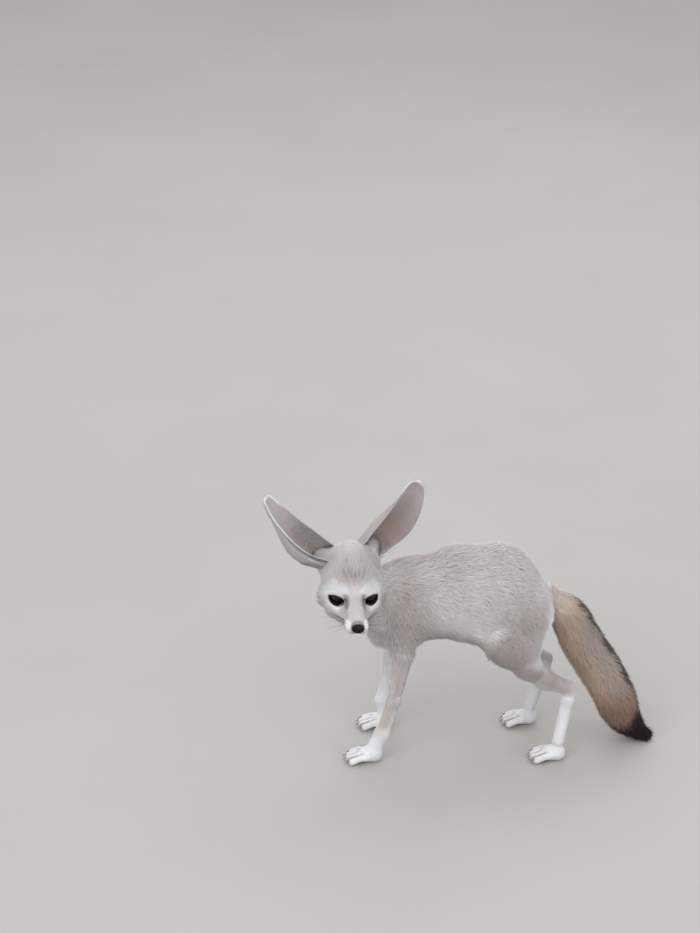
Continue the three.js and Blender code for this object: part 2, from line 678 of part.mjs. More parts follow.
function makeTail() {
  const locks = [];
  for (let ring = 0; ring < BRUSH.rings; ring++)
    for (let number = 0; number < BRUSH.round; number++) locks.push(brushLock(ring, number));
  const coreShare = (share) =>
    THREE.MathUtils.lerp(CORE.root, CORE.share, THREE.MathUtils.smoothstep(share, 0, CORE.thinBy));
  const core = solidOf(new BrushGeometry((share) => coreShare(share) * tailRadius(share), 14, 12));
  return cut(joined([core, ...locks]), [ahead(...TAIL_SEAM)]);
}

// The fox

const fox = new THREE.Group();

function addPiece(name, solid, colour, roughness = 0.85) {
  const material = new THREE.MeshStandardMaterial({ color: COLOURS[colour], roughness, metalness: 0 });
  const mesh = new THREE.Mesh(geometryOf(solid), material);
  mesh.name = name;
  fox.add(mesh);
}

addPiece("torso", makeTorso(), "buff");
addPiece("neck", makeNeck(), "buff");
addPiece("head", makeHead(), "pale");
addPiece("nose", makeNose(), "black", 0.4);
addPiece("tail", makeTail(), "tail");
for (const [name, ear] of Object.entries(EARS)) addPiece(`ear_${name}`, makeEar(ear), "ear");
for (const [name, side] of [["left", LEFT], ["right", RIGHT]]) {
  addPiece(`eye_${name}`, makeEye(side), "black", 0.1);
  for (const end of ["fore", "hind"]) {
    const leg = LEGS[`${end}leg_${name}`];
    addPiece(`${end}leg_${name}`, makeLeg(side, end, leg), "pale");
    addPiece(`${end}paw_${name}`, makePaw(leg), "white");
  }
}

// The origin goes under the middle of the model's box.
const middle = new THREE.Box3().setFromObject(fox).getCenter(at(0, 0, 0));
fox.position.set(-middle.x, -middle.y, 0);

export default fox;
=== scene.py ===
"""A fennec fox at life size: its skin, coat, eyes, nose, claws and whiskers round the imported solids."""

import math
from collections import namedtuple

import bpy
import numpy as np
import openvdb
from mathutils import Matrix, Vector


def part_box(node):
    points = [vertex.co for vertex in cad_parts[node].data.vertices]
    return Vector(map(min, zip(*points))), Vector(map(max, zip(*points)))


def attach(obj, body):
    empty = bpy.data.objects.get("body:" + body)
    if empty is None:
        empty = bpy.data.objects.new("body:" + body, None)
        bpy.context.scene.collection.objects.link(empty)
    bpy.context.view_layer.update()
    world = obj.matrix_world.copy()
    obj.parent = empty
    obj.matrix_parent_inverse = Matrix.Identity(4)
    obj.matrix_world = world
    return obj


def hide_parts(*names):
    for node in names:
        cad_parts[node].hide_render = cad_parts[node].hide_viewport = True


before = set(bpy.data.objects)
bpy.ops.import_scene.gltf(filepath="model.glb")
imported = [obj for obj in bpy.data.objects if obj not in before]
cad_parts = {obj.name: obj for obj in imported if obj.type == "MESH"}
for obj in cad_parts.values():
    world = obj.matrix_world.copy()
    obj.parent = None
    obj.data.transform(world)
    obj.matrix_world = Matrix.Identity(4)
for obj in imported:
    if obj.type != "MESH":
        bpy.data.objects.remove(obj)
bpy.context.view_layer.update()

bl_info = {
    "name": "Fennec fox",
    "version": (1, 0, 0),
    "blender": (4, 5, 0),
    "location": "3D View > Sidebar > Fennec",
    "description": "Builds a standing fennec fox with its coat",
    "category": "Object",
}

MM = 0.001
LEFT, RIGHT = 1, -1
SIDES = (("left", LEFT), ("right", RIGHT))
SHAPE_DETAIL = 1.6  # mm, cells of the body's skin
HEAD_DETAIL = 0.7
PAW_DETAIL = 1.0
SLOPE_STEP = 0.4
FAR = 60.0  # the distance given to all that is away from the surface


# Places and directions, in millimetres: the nose end of the body points to -X, its left side to -Y.

def at(x, y, z):
    return np.array((x, y, z), float)


def unit(vectors):
    length = np.linalg.norm(vectors, axis=-1, keepdims=True)
    return vectors / np.maximum(length, 1e-9)


def dot(a, b):
    return (a * b).sum(-1)


def turned(vector, axis, angle):
    """A vector turned about an axis by an angle in radians."""
    cos, sin = math.cos(angle), math.sin(angle)
    return vector * cos + np.cross(axis, vector) * sin + axis * (axis @ vector) * (1 - cos)


def smooth(values, low, high):
    """0 below low, 1 above high, and eased between them."""
    share = np.clip((values - low) / (high - low), 0, 1)
    return share * share * (3 - 2 * share)


def fade(values, low, high):
    """1 below low, 0 above high, and eased between them."""
    return 1 - smooth(values, low, high)


def mix(a, b, share):
    return a + (b - a) * share


UP = at(0, 0, 1)
HEAD_PLACE = at(-107.6, -48, 185)
HEAD_YAW, HEAD_PITCH, HEAD_ROLL = (math.radians(angle) for angle in (4.5, 2, -2))
FACING = at(
    math.sin(HEAD_YAW) * math.cos(HEAD_PITCH),
    -math.cos(HEAD_YAW) * math.cos(HEAD_PITCH),
    math.sin(HEAD_PITCH),
)
HEAD_LEFT = turned(unit(np.cross(UP, FACING)), FACING, HEAD_ROLL)
HEAD_UP = np.cross(FACING, HEAD_LEFT)


def towards(forward, left, up):
    return FACING * forward + HEAD_LEFT * left + HEAD_UP * up


def in_head(forward, left, up):
    return HEAD_PLACE + towards(forward, left, up)


def head_places(places):
    """How far forward, left and up of the middle of the face each place is."""
    offsets = places - HEAD_PLACE
    return offsets @ FACING, offsets @ HEAD_LEFT, offsets @ HEAD_UP


# The middles of the eyes and of the nose, forward, aside and up of the middle of the face.
EYE_BACK = -4
NOSE_FORWARD, NOSE_UP = 40.6, -12
EYE_RADIUS = 8.2
EYE_SPREAD = 12.9
EYE_TURN = math.radians(26)


def eye_centre(side):
    return in_head(EYE_BACK, side * EYE_SPREAD, 0)


def gaze(side):
    return unit(towards(math.cos(EYE_TURN), side * math.sin(EYE_TURN), 0.05))


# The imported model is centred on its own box, so its left eye gives the way from these places to it.
EYE_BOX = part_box("eye_left")
SHIFT = (np.array(EYE_BOX[0]) + np.array(EYE_BOX[1])) / 2 - eye_centre(LEFT) * MM


# Flesh: tapered capsules that melt together, thinner than the animal by the depth of its coat

Form = namedtuple("Form", "start r0 end r1 melt flat coat lie")


def form(start, r0, end, r1, melt, coat, lie=None, flat=1):
    """One form of the outline, under a depth of coat. Its hair points along lie, or else from start to end."""
    start, end = np.asarray(start, float), np.asarray(end, float)
    lie = end - start if lie is None else np.asarray(lie, float)
    return Form(start, r0, end, r1, melt, flat, coat, unit(lie))


BACK_LOW = at(-44, 0, 157)
RIBS = at(-6, 0, 164)
LOIN = at(28, 0, 167)
RUMP = at(56, 0, 152)
BREAST = at(-63, 0, 140)
BRISKET = at(-79, 0, 123)
NECK_ROOT = at(-58, 0, 162)
NAPE = at(-98, -8, 173)
CROUP = at(64, 0, 156)
TAIL_ROOT = at(80, 0, 156)
BACKWARDS = at(1, 0, -0.35)
SLOPING = at(0.8, 0, -0.6)
DOWN_CHEST = at(0.35, 0, -1)

TRUNK = [
    form(BACK_LOW, 41, RIBS, 45, 10, 4.5, BACKWARDS, 0.83),
    form(RIBS, 45, LOIN, 43, 10, 4.5, BACKWARDS, 0.83),
    form(LOIN, 42.5, RUMP, 27, 12, 4.5, at(1, 0, -0.5), 0.9),
    form(BREAST, 31, BACK_LOW, 38, 14, 5, at(0.7, 0, -0.7), 0.88),
    form(BREAST, 27, BRISKET, 15, 12, 5, DOWN_CHEST, 0.9),
    form(CROUP, 20, TAIL_ROOT, 11, 12, 3.5, SLOPING),
]
NECK = [form(NECK_ROOT, 32, NAPE, 24, 14, 6, SLOPING)]


def head_form(start, r0, end, r1, melt, coat, lie):
    return form(in_head(*start), r0, in_head(*end), r1, melt, coat, towards(*lie))


# Forms of the face that are alike on both sides: forward, aside and up.
CHEEKS = (
    ((-20, 15, -7), 19, (-8, 13, -9), 14, 8, 3.2, (-1, 0.6, -0.25)),
    ((-5, 14, -12), 12.5, (21, 4, -14.5), 7.4, 6, 1.4, (-1, 0.35, -0.2)),
    ((-5, 11, 8), 8.5, (-13, 17, 9), 10, 6, 1.6, (-1, 0.3, 0.5)),
    ((25, 5.4, -15), 6.8, (33.5, 4.8, -15.4), 6.1, 3, 0.7, (-1, 0.3, -0.2)),
)


def head_forms():
    forms = [
        head_form((-31, 0, 12), 29.5, (-16, 0, 10), 26, 8, 3.0, (-1, 0, 0.45)),
        head_form((-7, 0, -1), 16.5, (13, 0, -5), 8.8, 7, 1.2, (-1, 0, 0.4)),
        head_form((13, 0, -5), 8.8, (37, 0, -12), 6.9, 5, 0.8, (-1, 0, 0.15)),
        head_form((-14, 0, -18), 12.5, (27, 0, -19), 4.6, 6, 1.2, (-1, 0, -0.3)),
    ]
    for side in (LEFT, RIGHT):
        for (x0, y0, z0), r0, (x1, y1, z1), r1, melt, coat, (back, out, up) in CHEEKS:
            lie = (back, side * out, up)
            forms.append(head_form((x0, side * y0, z0), r0, (x1, side * y1, z1), r1, melt, coat, lie))
    return forms


EAR_BASE = (-33, 19.7, 30.7)  # forward, aside and up
EAR_LENGTH = 92
EAR_START = -0.12  # where the cup begins, in the flesh below the base
EAR_BOW = 7  # outwards, of the middle of its length
EAR_SHEET = 1.5  # thickness
EAR_MOUND_BACK = 12  # of the flesh at its base, behind the cup
EAR_MOUND_RADIUS = 13
EarPose = namedtuple("EarPose", "side axis turn")
EARS = {
    "left": EarPose(LEFT, (0.26, 0.41, 0.87), 0),
    "right": EarPose(RIGHT, (0.22, 0.68, 0.7), 63),
}
# Half of the width of an ear's mouth, and the depth of the cup behind it, by height.
EAR_HEIGHTS = (EAR_START, 0, 0.25, 0.5, 0.75, 0.9, 0.97, 1)
EAR_MOUTHS = (9, 10.5, 15.2, 15.2, 13, 10, 6.2, 1.8)
EAR_DEPTHS = (19, 20, 25, 18, 8.5, 6, 3.5, 0.8)
EarFrame = namedtuple("EarFrame", "base along mouth outwards")


def ear_frame(ear):
    along = unit(towards(ear.axis[0], ear.side * ear.axis[1], ear.axis[2]))
    mouth = turned(unit(FACING - along * (along @ FACING)), along, math.radians(-ear.side * ear.turn))
    base = in_head(EAR_BASE[0], ear.side * EAR_BASE[1], EAR_BASE[2])
    return EarFrame(base, along, mouth, np.cross(along, mouth) * ear.side)


def ear_mounds():
    mounds = []
    for ear in EARS.values():
        base, along, mouth, _ = ear_frame(ear)
        root = in_head(EAR_BASE[0], ear.side * EAR_BASE[1] * 0.7, EAR_BASE[2] / 2)
        top = base - mouth * EAR_MOUND_BACK - along * 5
        radii = EAR_MOUND_RADIUS + 1, EAR_MOUND_RADIUS - 1.5
        mounds.append(form(root, radii[0], top, radii[1], 8, 2.2, along - FACING * 0.3))
    return mounds


def ear_hollows():
    """What is left open in front of each ear, so that its cup is seen down to its base."""
    hollows = []
    for ear in EARS.values():
        base, along, mouth, outwards = ear_frame(ear)
        low = base + mouth * 12 + outwards * 2 - along * 5
        high = base + mouth * 15 + outwards * 3 + along * 24
        hollows.append(form(low, 10, high, 14, 5, 0))
    return hollows


Leg = namedtuple("Leg", "shoulder leg heel reach")
LEG_COAT = 1.0
DOWN = at(0.12, 0, -1)


def placed(side):
    """Places on one side of the body, from their distance out of its middle."""
    return lambda x, y, z: at(x, -side * y, z)


def foreleg(side, elbow, carpus, foot):
    on = placed(side)
    middle = (elbow + carpus) / 2 - 1
    return Leg(
        [form(on(-60, 18, 152), 25, on(elbow - 5, 26, 119), 13.8, 14, 4, at(0.45, 0, -1))],
        [
            form(on(elbow - 4, 28, 109), 10.8, on(middle, 31, 64), 7.7, 8, 1.8, DOWN),
            form(on(middle, 31, 64), 7.6, on(carpus, 32, 30), 7.6, 4, LEG_COAT, DOWN),
            form(on(carpus, 32, 30), 7.6, on(foot, 32, 13), 8, 4, LEG_COAT, at(-0.3, 0, -1)),
        ],
        on(foot, 32, 8),
        25,
    )


def hindleg(side, knee, hock, foot):
    on = placed(side)
    shin = (knee + hock) / 2 + 7
    return Leg(
        [
            form(on(56, 18, 146), 24.5, on(knee + 14, 27, 122), 18.5, 14, 4, at(0.6, 0, -0.9)),
            form(on(knee + 14, 27, 122), 18.5, on(knee, 31, 119), 14.5, 12, 3.5, at(0.6, 0, -0.9)),
            form(on(knee - 36, 18, 139), 12, on(knee, 29, 121), 14, 20, 4, SLOPING),
        ],
        [
            form(on(knee, 31, 119), 14.5, on(knee + 20, 32, 101), 14, 10, 2.6, at(0.6, 0, -0.8)),
            form(on(knee + 20, 32, 101), 14, on(shin, 31, 85.5), 10.6, 6, 2, SLOPING),
            form(on(shin, 31, 85.5), 10.6, on(hock - 1, 29, 74.5), 7.6, 5, LEG_COAT),
            form(on(hock + 1.5, 29, 75), 6.6, on(hock - 1, 29, 62), 7, 4, LEG_COAT, DOWN),
            form(on(hock - 1, 29, 62), 7, on(foot + 1, 34, 20), 6.7, 4, LEG_COAT, DOWN),
        ],
        on(foot, 34, 8),
        24,
    )


LEGS = {
    "foreleg_left": foreleg(LEFT, -57, -80, -88),
    "foreleg_right": foreleg(RIGHT, -63, -77, -74),
    "hindleg_left": hindleg(LEFT, 36, 97, 87),
    "hindleg_right": hindleg(RIGHT, 30, 80, 66),
}
TOES = (-1.5, -0.5, 0.5, 1.5)
PAW_COAT = 0.7


def paw_forms(leg):
    x, y, z = leg.heel
    forms = [form((x, y, z), 9, (x - 8, y, z - 1), 8, 4, PAW_COAT, at(-1, 0, -0.7))]
    for toe in TOES:
        heel = (x - 6, y + toe * 4.2, 7.4)
        knuckle = (x - leg.reach + 7.5 + abs(toe) * 2.6, y + toe * 5.8, 7.0)
        tip = (x - leg.reach + abs(toe) * 3, y + toe * 6.2, 4.0)
        forms.append(form(heel, 4.6, knuckle, 3.5, 1.0, PAW_COAT, at(-1, 0, -0.2)))
        forms.append(form(knuckle, 3.6, tip, 3.9, 0.8, PAW_COAT, at(-1, 0, -0.6)))
    return forms


TAIL_POINTS = np.array([
    (80, 0, 157), (96.5, 0, 136.5), (111, 0, 110), (126.5, 0, 84),
    (140.5, 0, 58), (151, 0, 34), (163, 0, 17), (178.5, 0, 3.5),
], float)
TAIL_RADII = (12, 19, 21.5, 22.3, 22, 20.8, 12, 0.6)
TAIL_FLESH = 0.6  # of the brush's radius
ROOT_FLESH = 0.85
TAIL_TOP = 146  # above it the coat of the rump runs on over the root


def tail_place(shares):
    """Places and directions along the tail's curve, from root to tip."""
    shares = np.clip(np.atleast_1d(shares), 0, 1)
    spot = shares * (len(TAIL_POINTS) - 1)
    low = np.minimum(spot.astype(int), len(TAIL_POINTS) - 2)
    t = (spot - low)[:, None]
    before = 2 * TAIL_POINTS[0] - TAIL_POINTS[1]
    after = 2 * TAIL_POINTS[-1] - TAIL_POINTS[-2]
    padded = np.vstack([before, TAIL_POINTS, after])
    a, b, c, d = (padded[low + n] for n in range(4))
    rise, bend, turn = c - a, 2 * a - 5 * b + 4 * c - d, 3 * b - a - 3 * c + d
    place = 0.5 * (2 * b + rise * t + bend * t ** 2 + turn * t ** 3)
    along = 0.5 * (rise + 2 * bend * t + 3 * turn * t ** 2)
    return place, unit(along)


def tail_radius(shares):
    return np.interp(shares, np.linspace(0, 1, len(TAIL_RADII)), TAIL_RADII)


def tail_flesh(shares):
    """The radius of the tail's flesh: nearly the whole at its root, little of the brush below."""
    share = mix(ROOT_FLESH, TAIL_FLESH, smooth(shares, 0, 0.3)) * mix(1, 0.75, smooth(shares, 0.75, 0.95))
    return tail_radius(shares) * share


def tail_forms():
    shares = np.linspace(0, 0.93, 15)
    places, along = tail_place(shares)
    radii = tail_flesh(shares)
    return [
        form(places[n], radii[n], places[n + 1], radii[n + 1], 3, 0, along[n])
        for n in range(len(shares) - 1)
    ]


def form_distance(one, points):
    """The distance from points to one form, less its coat, below zero inside."""
    axis = one.end - one.start
    offset = points - one.start
    share = np.clip(offset @ axis / max(axis @ axis, 1e-6), 0, 1)
    offset = offset - share[..., None] * axis
    if one.flat != 1:
        offset = offset * at(1, 1 / one.flat, 1)
    return np.sqrt(dot(offset, offset)) - mix(one.r0, one.r1, share) + one.coat


def melted(a, b, melt):
    near = np.maximum(melt - np.abs(a - b), 0)
    return np.minimum(a, b) - near * near / (4 * melt)


def flesh(points, forms):
    """The distance from points to the forms melted together, below zero inside."""
    found = np.full(points.shape[:-1], FAR)
    for one in forms:
        found = melted(found, form_distance(one, points), one.melt)
    return found


class Grid:
    """Distances on a regular grid, from which a closed surface is taken."""

    def __init__(self, low, high, cell):
        self.low, self.cell = np.asarray(low, float), cell
        self.count = np.ceil((np.asarray(high, float) - self.low) / cell).astype(int) + 1
        self.values = np.full(self.count, FAR, np.float32)

    def places(self, low, high):
        """The part of the grid between two corners, and its places."""
        first = np.clip(np.floor((low - self.low) / self.cell).astype(int), 0, self.count)
        last = np.clip(np.ceil((high - self.low) / self.cell).astype(int) + 1, 0, self.count)
        part = tuple(slice(a, b) for a, b in zip(first, last))
        axes = [self.low[n] + self.cell * np.arange(first[n], last[n]) for n in range(3)]
        return part, np.stack(np.meshgrid(*axes, indexing="ij"), -1)

    def add(self, forms):
        for one in forms:
            margin = max(one.r0, one.r1) + one.melt + 3 * self.cell
            low = np.minimum(one.start, one.end) - margin
            high = np.maximum(one.start, one.end) + margin
            part, places = self.places(low, high)
            if places.size:
                self.values[part] = melted(self.values[part], form_distance(one, places), one.melt)

    def keep(self, distance, low=None, high=None, melt=0.0):
        """Cuts away all where a distance is above zero."""
        whole = self.low + self.cell * (self.count - 1)
        part, places = self.places(self.low if low is None else low, whole if high is None else high)
        other = distance(places)
        if melt:
            self.values[part] = -melted(-self.values[part], -other, melt)
        else:
            self.values[part] = np.maximum(self.values[part], other)

    def surface(self):
        """Points and four-sided faces where the distance is zero."""
        values = self.values
        for axis in range(3):
            for end in (0, -1):
                edge = [slice(None)] * 3
                edge[axis] = end
                values[tuple(edge)] = np.maximum(values[tuple(edge)], self.cell)
        grid = openvdb.FloatGrid(background=FAR)
        grid.copyFromArray(np.clip(values, -FAR, FAR))
        points, quads = grid.convertToQuads(isovalue=0.0)
        return self.low + self.cell * points.astype(float), quads[:, ::-1].astype(np.int64)


def slope(points, forms):
    """The direction out of the forms, at points by their surface."""
    parts = []
    for axis in np.eye(3) * SLOPE_STEP:
        parts.append(flesh(points + axis, forms) - flesh(points - axis, forms))
    return unit(np.stack(parts, -1))


BODY_FORMS = TRUNK + NECK + [one for leg in LEGS.values() for one in leg.shoulder + leg.leg]
HEAD_FORMS = head_forms()
MOUND_FORMS = ear_mounds()
TAIL_FORMS = tail_forms()
ALL_FORMS = BODY_FORMS + HEAD_FORMS + MOUND_FORMS + TAIL_FORMS + [
    one for leg in LEGS.values() for one in paw_forms(leg)
]


# Markings, and some painted shade: every colour is worked out from the place where a tuft grows

def sheet_colour(text):
    """A screen colour such as c9bcab, as light."""
    parts = np.array([int(text[n:n + 2], 16) / 255 for n in (0, 2, 4)])
    return np.where(parts <= 0.04045, parts / 12.92, ((parts + 0.055) / 1.055) ** 2.4)


def near(places, centre, radius, soft):
    """1 about a place, fading to 0 round it."""
    return fade(np.linalg.norm(places - centre, axis=-1), radius - soft, radius + soft)


def stroke(places, start, end, radius, soft):
    """1 along a line, fading to 0 at its edge."""
    start, end = np.asarray(start, float), np.asarray(end, float)
    axis = end - start
    share = np.clip((places - start) @ axis / (axis @ axis), 0, 1)
    return near(places - share[..., None] * axis, start, radius, soft)


def ripple(places, size, seed):
    """A gentle variation from -1 to 1 over the coat."""
    turns = np.random.default_rng(seed)
    total = np.zeros(places.shape[:-1])
    for _ in range(6):
        wave = unit(turns.normal(size=3)) * (2 * math.pi / size) * turns.uniform(0.7, 1.5)
        total += np.sin(places @ wave + turns.uniform(0, 6.3))
    return total / 3


class Painter:
    """Colours that are laid over each other by masks."""

    def __init__(self, places, tones, base):
        self.tones = tones
        self.colours = np.broadcast_to(tones[base], places.shape).copy()

    def lay(self, tone, mask):
        colour = self.tones[tone] if isinstance(tone, str) else tone
        self.colours += (colour - self.colours) * np.clip(mask, 0, 1)[..., None]

    def draw(self, places, strokes):
        for tone, strength, *line in strokes:
            self.lay(tone, strength * stroke(places, *line))


# Marks of the face, alike on both sides: tone, strength, start, end (forward, aside, up), radius and fade.
FACE_PATCHES = (
    ("taupe", 0.4, (14, 0, 4), (38, 0, -5), 5.5, 2.5),  # down the bridge of the nose
    ("taupe", 0.75, (-14, 24, -14), (12, 15, -14), 6, 5),  # cheek
    ("white", 0.8, (-4, 20, -5.5), (10, 15, -6), 3.6, 2.4),  # under the eye
)
FACE_LINES = (
    ("brown", 0.5, (5, 0, 20), (13, 0, 6), 0.9, 0.9),  # down the forehead
    ("brown", 0.4, (-8.6, 7, 31.7), (6.4, 2.4, 18.8), 0.9, 0.9),
    ("brown", 0.3, (0, 9, 24), (9, 4, 14), 0.9, 0.9),
    ("brown", 0.75, (29, 11, -12.4), (20, 12, -12.8), 0.9, 0.9),  # from the mouth over the cheek
    ("brown", 0.7, (20, 12, -12.8), (14, 15.2, -13), 0.9, 0.9),
    ("brown", 0.5, (14, 15.2, -13), (6, 19.4, -13.2), 0.9, 0.9),
    ("brown", 0.6, (27, 11.4, -14.6), (17, 13.4, -15.6), 0.9, 0.9),
    ("brown", 0.45, (-6, 25, 4), (-14, 29, -6), 0.9, 0.9),  # behind the eye
    ("brown", 0.35, (-14, 29, -6), (0, 23, -11), 0.9, 0.9),
    ("brown", 0.3, (0, 22.5, 9), (-9, 26, 5), 0.9, 0.9),
    ("white", 1, (7.5, 9, 10), (1.5, 17.2, 10.8), 3.5, 2.2),  # brow
    ("white", 1, (1.5, 17.2, 10.8), (-9, 25, 2), 3.5, 2.2),
    ("brown", 0.62, (8, 8.2, 3), (16, 8, -1), 3.2, 2.2),  # from the eye down the muzzle: the dark tear line, and painted shade down the sides of the nose's bridge
    ("brown", 0.32, (14, 8.6, -1), (25, 9.6, -8), 2.4, 2.8),
    ("brown", 0.25, (10, 12, -4), (24, 11, -10), 3.5, 3),
    ("white", 1, (30, 9.2, -11.5), (36, 7, -11.8), 3.2, 1.6),  # beside the nose
)
EYE_CORNER = (("dark", 0.9, (12.5, 7.8, 2), (8, 9, 1.6), 0.9, 0.7),)


def head_marks_and_shade(places, tones):
    forward, left, up = head_places(places)
    side = np.abs(left)
    local = np.stack([forward, side, up], -1)
    paint = Painter(places, tones, "cream")
    paint.lay("tan", 0.65 * smooth(up, 10, 22) * fade(side, 16, 30))
    paint.lay("taupe", 0.2 * smooth(-forward, 26, 40) * fade(up, 20, 34))
    paint.draw(local, FACE_PATCHES)
    streaks = 0.5 + 0.5 * np.sin(left * 1.9 + 1.2 * ripple(places, 26, 8))
    brow = smooth(up, 14, 20) * smooth(forward, -22, -8) * fade(side, 7, 13)
    paint.lay("brown", 0.2 * streaks * brow)
    paint.draw(local, FACE_LINES)
    paint.lay("white", 0.9 * fade(up, -25, -19))
    from_nose = np.hypot(forward - 40, np.hypot(left, up - NOSE_UP))
    paint.lay("brown", 0.6 * fade(from_nose, 6.2, 7.6))
    paint.draw(local, EYE_CORNER)
    paint.lay("dark", near_eyes(places, RIM, 0.45))
    return paint.colours


# Patches of the body seen from its side: tone, strength, start and end (x, z), radius, fade, and how far from
# the middle they set in.
BODY_PATCHES = (
    ("taupe", 0.72, (-74, 170), (-38, 128), 24, 16, (8, 24)),  # shoulder
    ("taupe", 0.8, (52, 156), (36, 112), 16, 13, (12, 26)),  # thigh
    ("white", 0.45, (-22, 150), (6, 150), 17, 14, (14, 28)),  # flank
    ("taupe", 0.8, (2, 120), (40, 120), 11, 8, (-1, 0)),  # before the knee
)
SHIN = ("taupe", 0.95, (44, 108), (94, 79), 7, 5, (26, 33))


def body_marks_and_shade(places, outwards, tones):
    x, y, z = places[..., 0], places[..., 1], places[..., 2]
    ahead, above = outwards[..., 0], outwards[..., 2]
    side, profile = np.abs(y), places[..., ::2]
    paint = Painter(places, tones, "cream")

    def patch(tone, strength, start, end, radius, soft, sets_in):
        paint.lay(tone, strength * stroke(profile, start, end, radius, soft) * smooth(side, *sets_in))

    paint.lay("tan", 0.9 * smooth(above, 0.1, 0.8) * smooth(z, 130, 170))
    ticks = 0.5 + 0.5 * np.sin(side * 1.1 + 2.5 * ripple(places, 24, 9))
    paint.lay("grey", 0.22 * ticks * smooth(above, 0.3, 0.9) * smooth(z, 150, 190))
    for one in BODY_PATCHES:
        patch(*one)
    # painted shade: taupe on the underside of the belly, where it faces the floor
    paint.lay("taupe", 0.7 * fade(above, -0.9, -0.1) * smooth(z, 90, 104) * smooth(x, -60, -30))
    paint.lay("white", 0.8 * near(profile, (66, 103), 12, 9))
    paint.lay("white", 0.95 * smooth(ahead, 0.55, 0.9) * smooth(x, 60, 72) * smooth(z, 100, 112))
    # painted shade: taupe low on the belly, between the fore and hind legs
    paint.lay("taupe", 0.75 * fade(z, 106, 122) * smooth(x, -46, -30) * fade(x, 24, 40))
    paint.lay("cinnamon", 0.7 * near(places, at(84, 0, 154), 9, 9))
    paint.lay("white", 0.6 * fade(z, 92, 112) * fade(x, -40, -24))
    sock = mix(26, 64, smooth(x, -20, 0))
    paint.lay("white", 0.85 * fade(z, sock, sock + 26))
    patch(*SHIN)
    front = fade(x, -20, 0) * fade(z, 115, 140)
    wide = smooth(z, 50, 80)
    strip = smooth(side, mix(31, 24, wide), mix(36, 32, wide)) * smooth(z, 24, 46) * fade(z, 96, 120)
    strip_tone = mix(tones["strip"], tones["taupe"], 0.7 * wide[..., None])
    paint.lay(strip_tone, 0.8 * front * strip * smooth(ahead, -0.6, 0.1))
    # painted shade: taupe lines in the gaps between the toes of each paw
    for leg in LEGS.values():
        heel_x, heel_y, _ = leg.heel
        toes = fade(x, heel_x - 12, heel_x - 6) * fade(z, 9, 14) * (np.abs(x - heel_x) < 34)
        for gap in (-1, 0, 1):
            between = fade(np.abs(y - heel_y - gap * 5.9), 0.3, 1.3)
            paint.lay("taupe", 0.9 * toes * between * (np.abs(y - heel_y) < 18))
    paint.lay("white", 0.95 * front * fade(ahead, -0.85, -0.5) * fade(z, 100, 120))
    return paint.colours


def tail_markings(places, tones):
    shares = np.linspace(0, 1, 90)
    middles, along = tail_place(shares)
    nearest = np.argmin(((places[:, None, :] - middles[None]) ** 2).sum(-1), 1)
    share = shares[nearest]
    rear = unit(np.cross(along, at(0, 1, 0)))
    rear = rear * np.sign(rear[:, :1])
    behind = dot(unit(places - middles[nearest]), rear[nearest])
    paint = Painter(places, tones, "cinnamon")
    paint.lay("grey", 0.6 * smooth(behind, -0.3, 0.5) * fade(share, 0.5, 0.75) * smooth(share, 0.03, 0.15))
    paint.lay("rust", 0.9 * smooth(share, 0.42, 0.64))
    paint.lay("tan", 0.4 * fade(share, 0.0, 0.05))
    paint.lay("dark", 0.85 * smooth(behind, 0.86, 0.96) * smooth(share, 0.01, 0.06))
    height = places[:, 2] + 2 * ripple(places, 9, 6) - 12 * smooth(behind, -0.2, 0.9)
    paint.lay("dark", 0.98 * fade(height, 30, 40))
    return paint.colours


def markings(places, outwards, names, tones):
    """The colour of the coat where it grows, by the part of the body that it grows on."""
    colours = body_marks_and_shade(places, outwards, tones)
    parting = HEAD_PLACE + towards(-46, 0, 0)
    on_head = smooth((places - parting) @ unit(towards(1, 0, 0.2)), -8, 8) * smooth(places[:, 2], 140, 150)
    on_head *= fade(places[:, 0], -82, -70)
    colours = mix(colours, head_marks_and_shade(places, tones), on_head[:, None])
    tail = names == "tail"
    if tail.any():
        colours[tail] = tail_markings(places[tail], tones)
    patches = 1 + 0.035 * ripple(places, 38, 3) + 0.03 * ripple(places, 13, 4)
    return np.clip(colours * patches[:, None], 0, 1)


# The coat's map: each region of the skin is unrolled round its own axis into a part of the square

Region = namedtuple("Region", "start end across corner size")


def regions():
    found = {
        "trunk": Region(at(-70, 0, 150), at(95, 0, 155), UP, (0.0, 0.0), (0.5, 0.4)),
        "neck": Region(at(-60, 0, 150), at(-100, -10, 178), UP, (0.5, 0.0), (0.2, 0.2)),
        "head": Region(in_head(-60, 0, 5), in_head(44, 0, -12), HEAD_UP, (0.0, 0.4), (0.5, 0.4)),
        "tail": Region(at(88, 0, 158), at(172, 0, 6), at(0, 1, 0), (0.7, 0.0), (0.3, 0.4)),
    }
    for number, (name, leg) in enumerate(LEGS.items()):
        foot = leg.heel + at(-8, 0, -8)
        top = leg.leg[0].start + at(0, 0, 30)
        found[name] = Region(top, foot, at(1, 0, 0), (0.5 + 0.125 * number, 0.4), (0.125, 0.4))
    for number, (name, ear) in enumerate(EARS.items()):
        base, along, mouth, _ = ear_frame(ear)
        tip = base + along * EAR_LENGTH
        found["ear_" + name] = Region(base, tip, mouth, (0.5 * number, 0.8), (0.5, 0.2))
    return found


REGIONS = regions()


def unrolled(places, name):
    region = REGIONS[name]
    axis = region.end - region.start
    offset = places - region.start
    share = np.clip(offset @ axis / (axis @ axis), -0.1, 1.1) / 1.2 + 0.0833
    ahead = unit(axis)
    up = unit(region.across - ahead * (region.across @ ahead))
    angle = np.arctan2(offset @ np.cross(ahead, up), offset @ up) / (2 * math.pi) + 0.5
    spot = np.stack([angle, share], -1) * 0.97 + 0.015
    return np.asarray(region.corner) + spot * np.asarray(region.size)


# Meshes

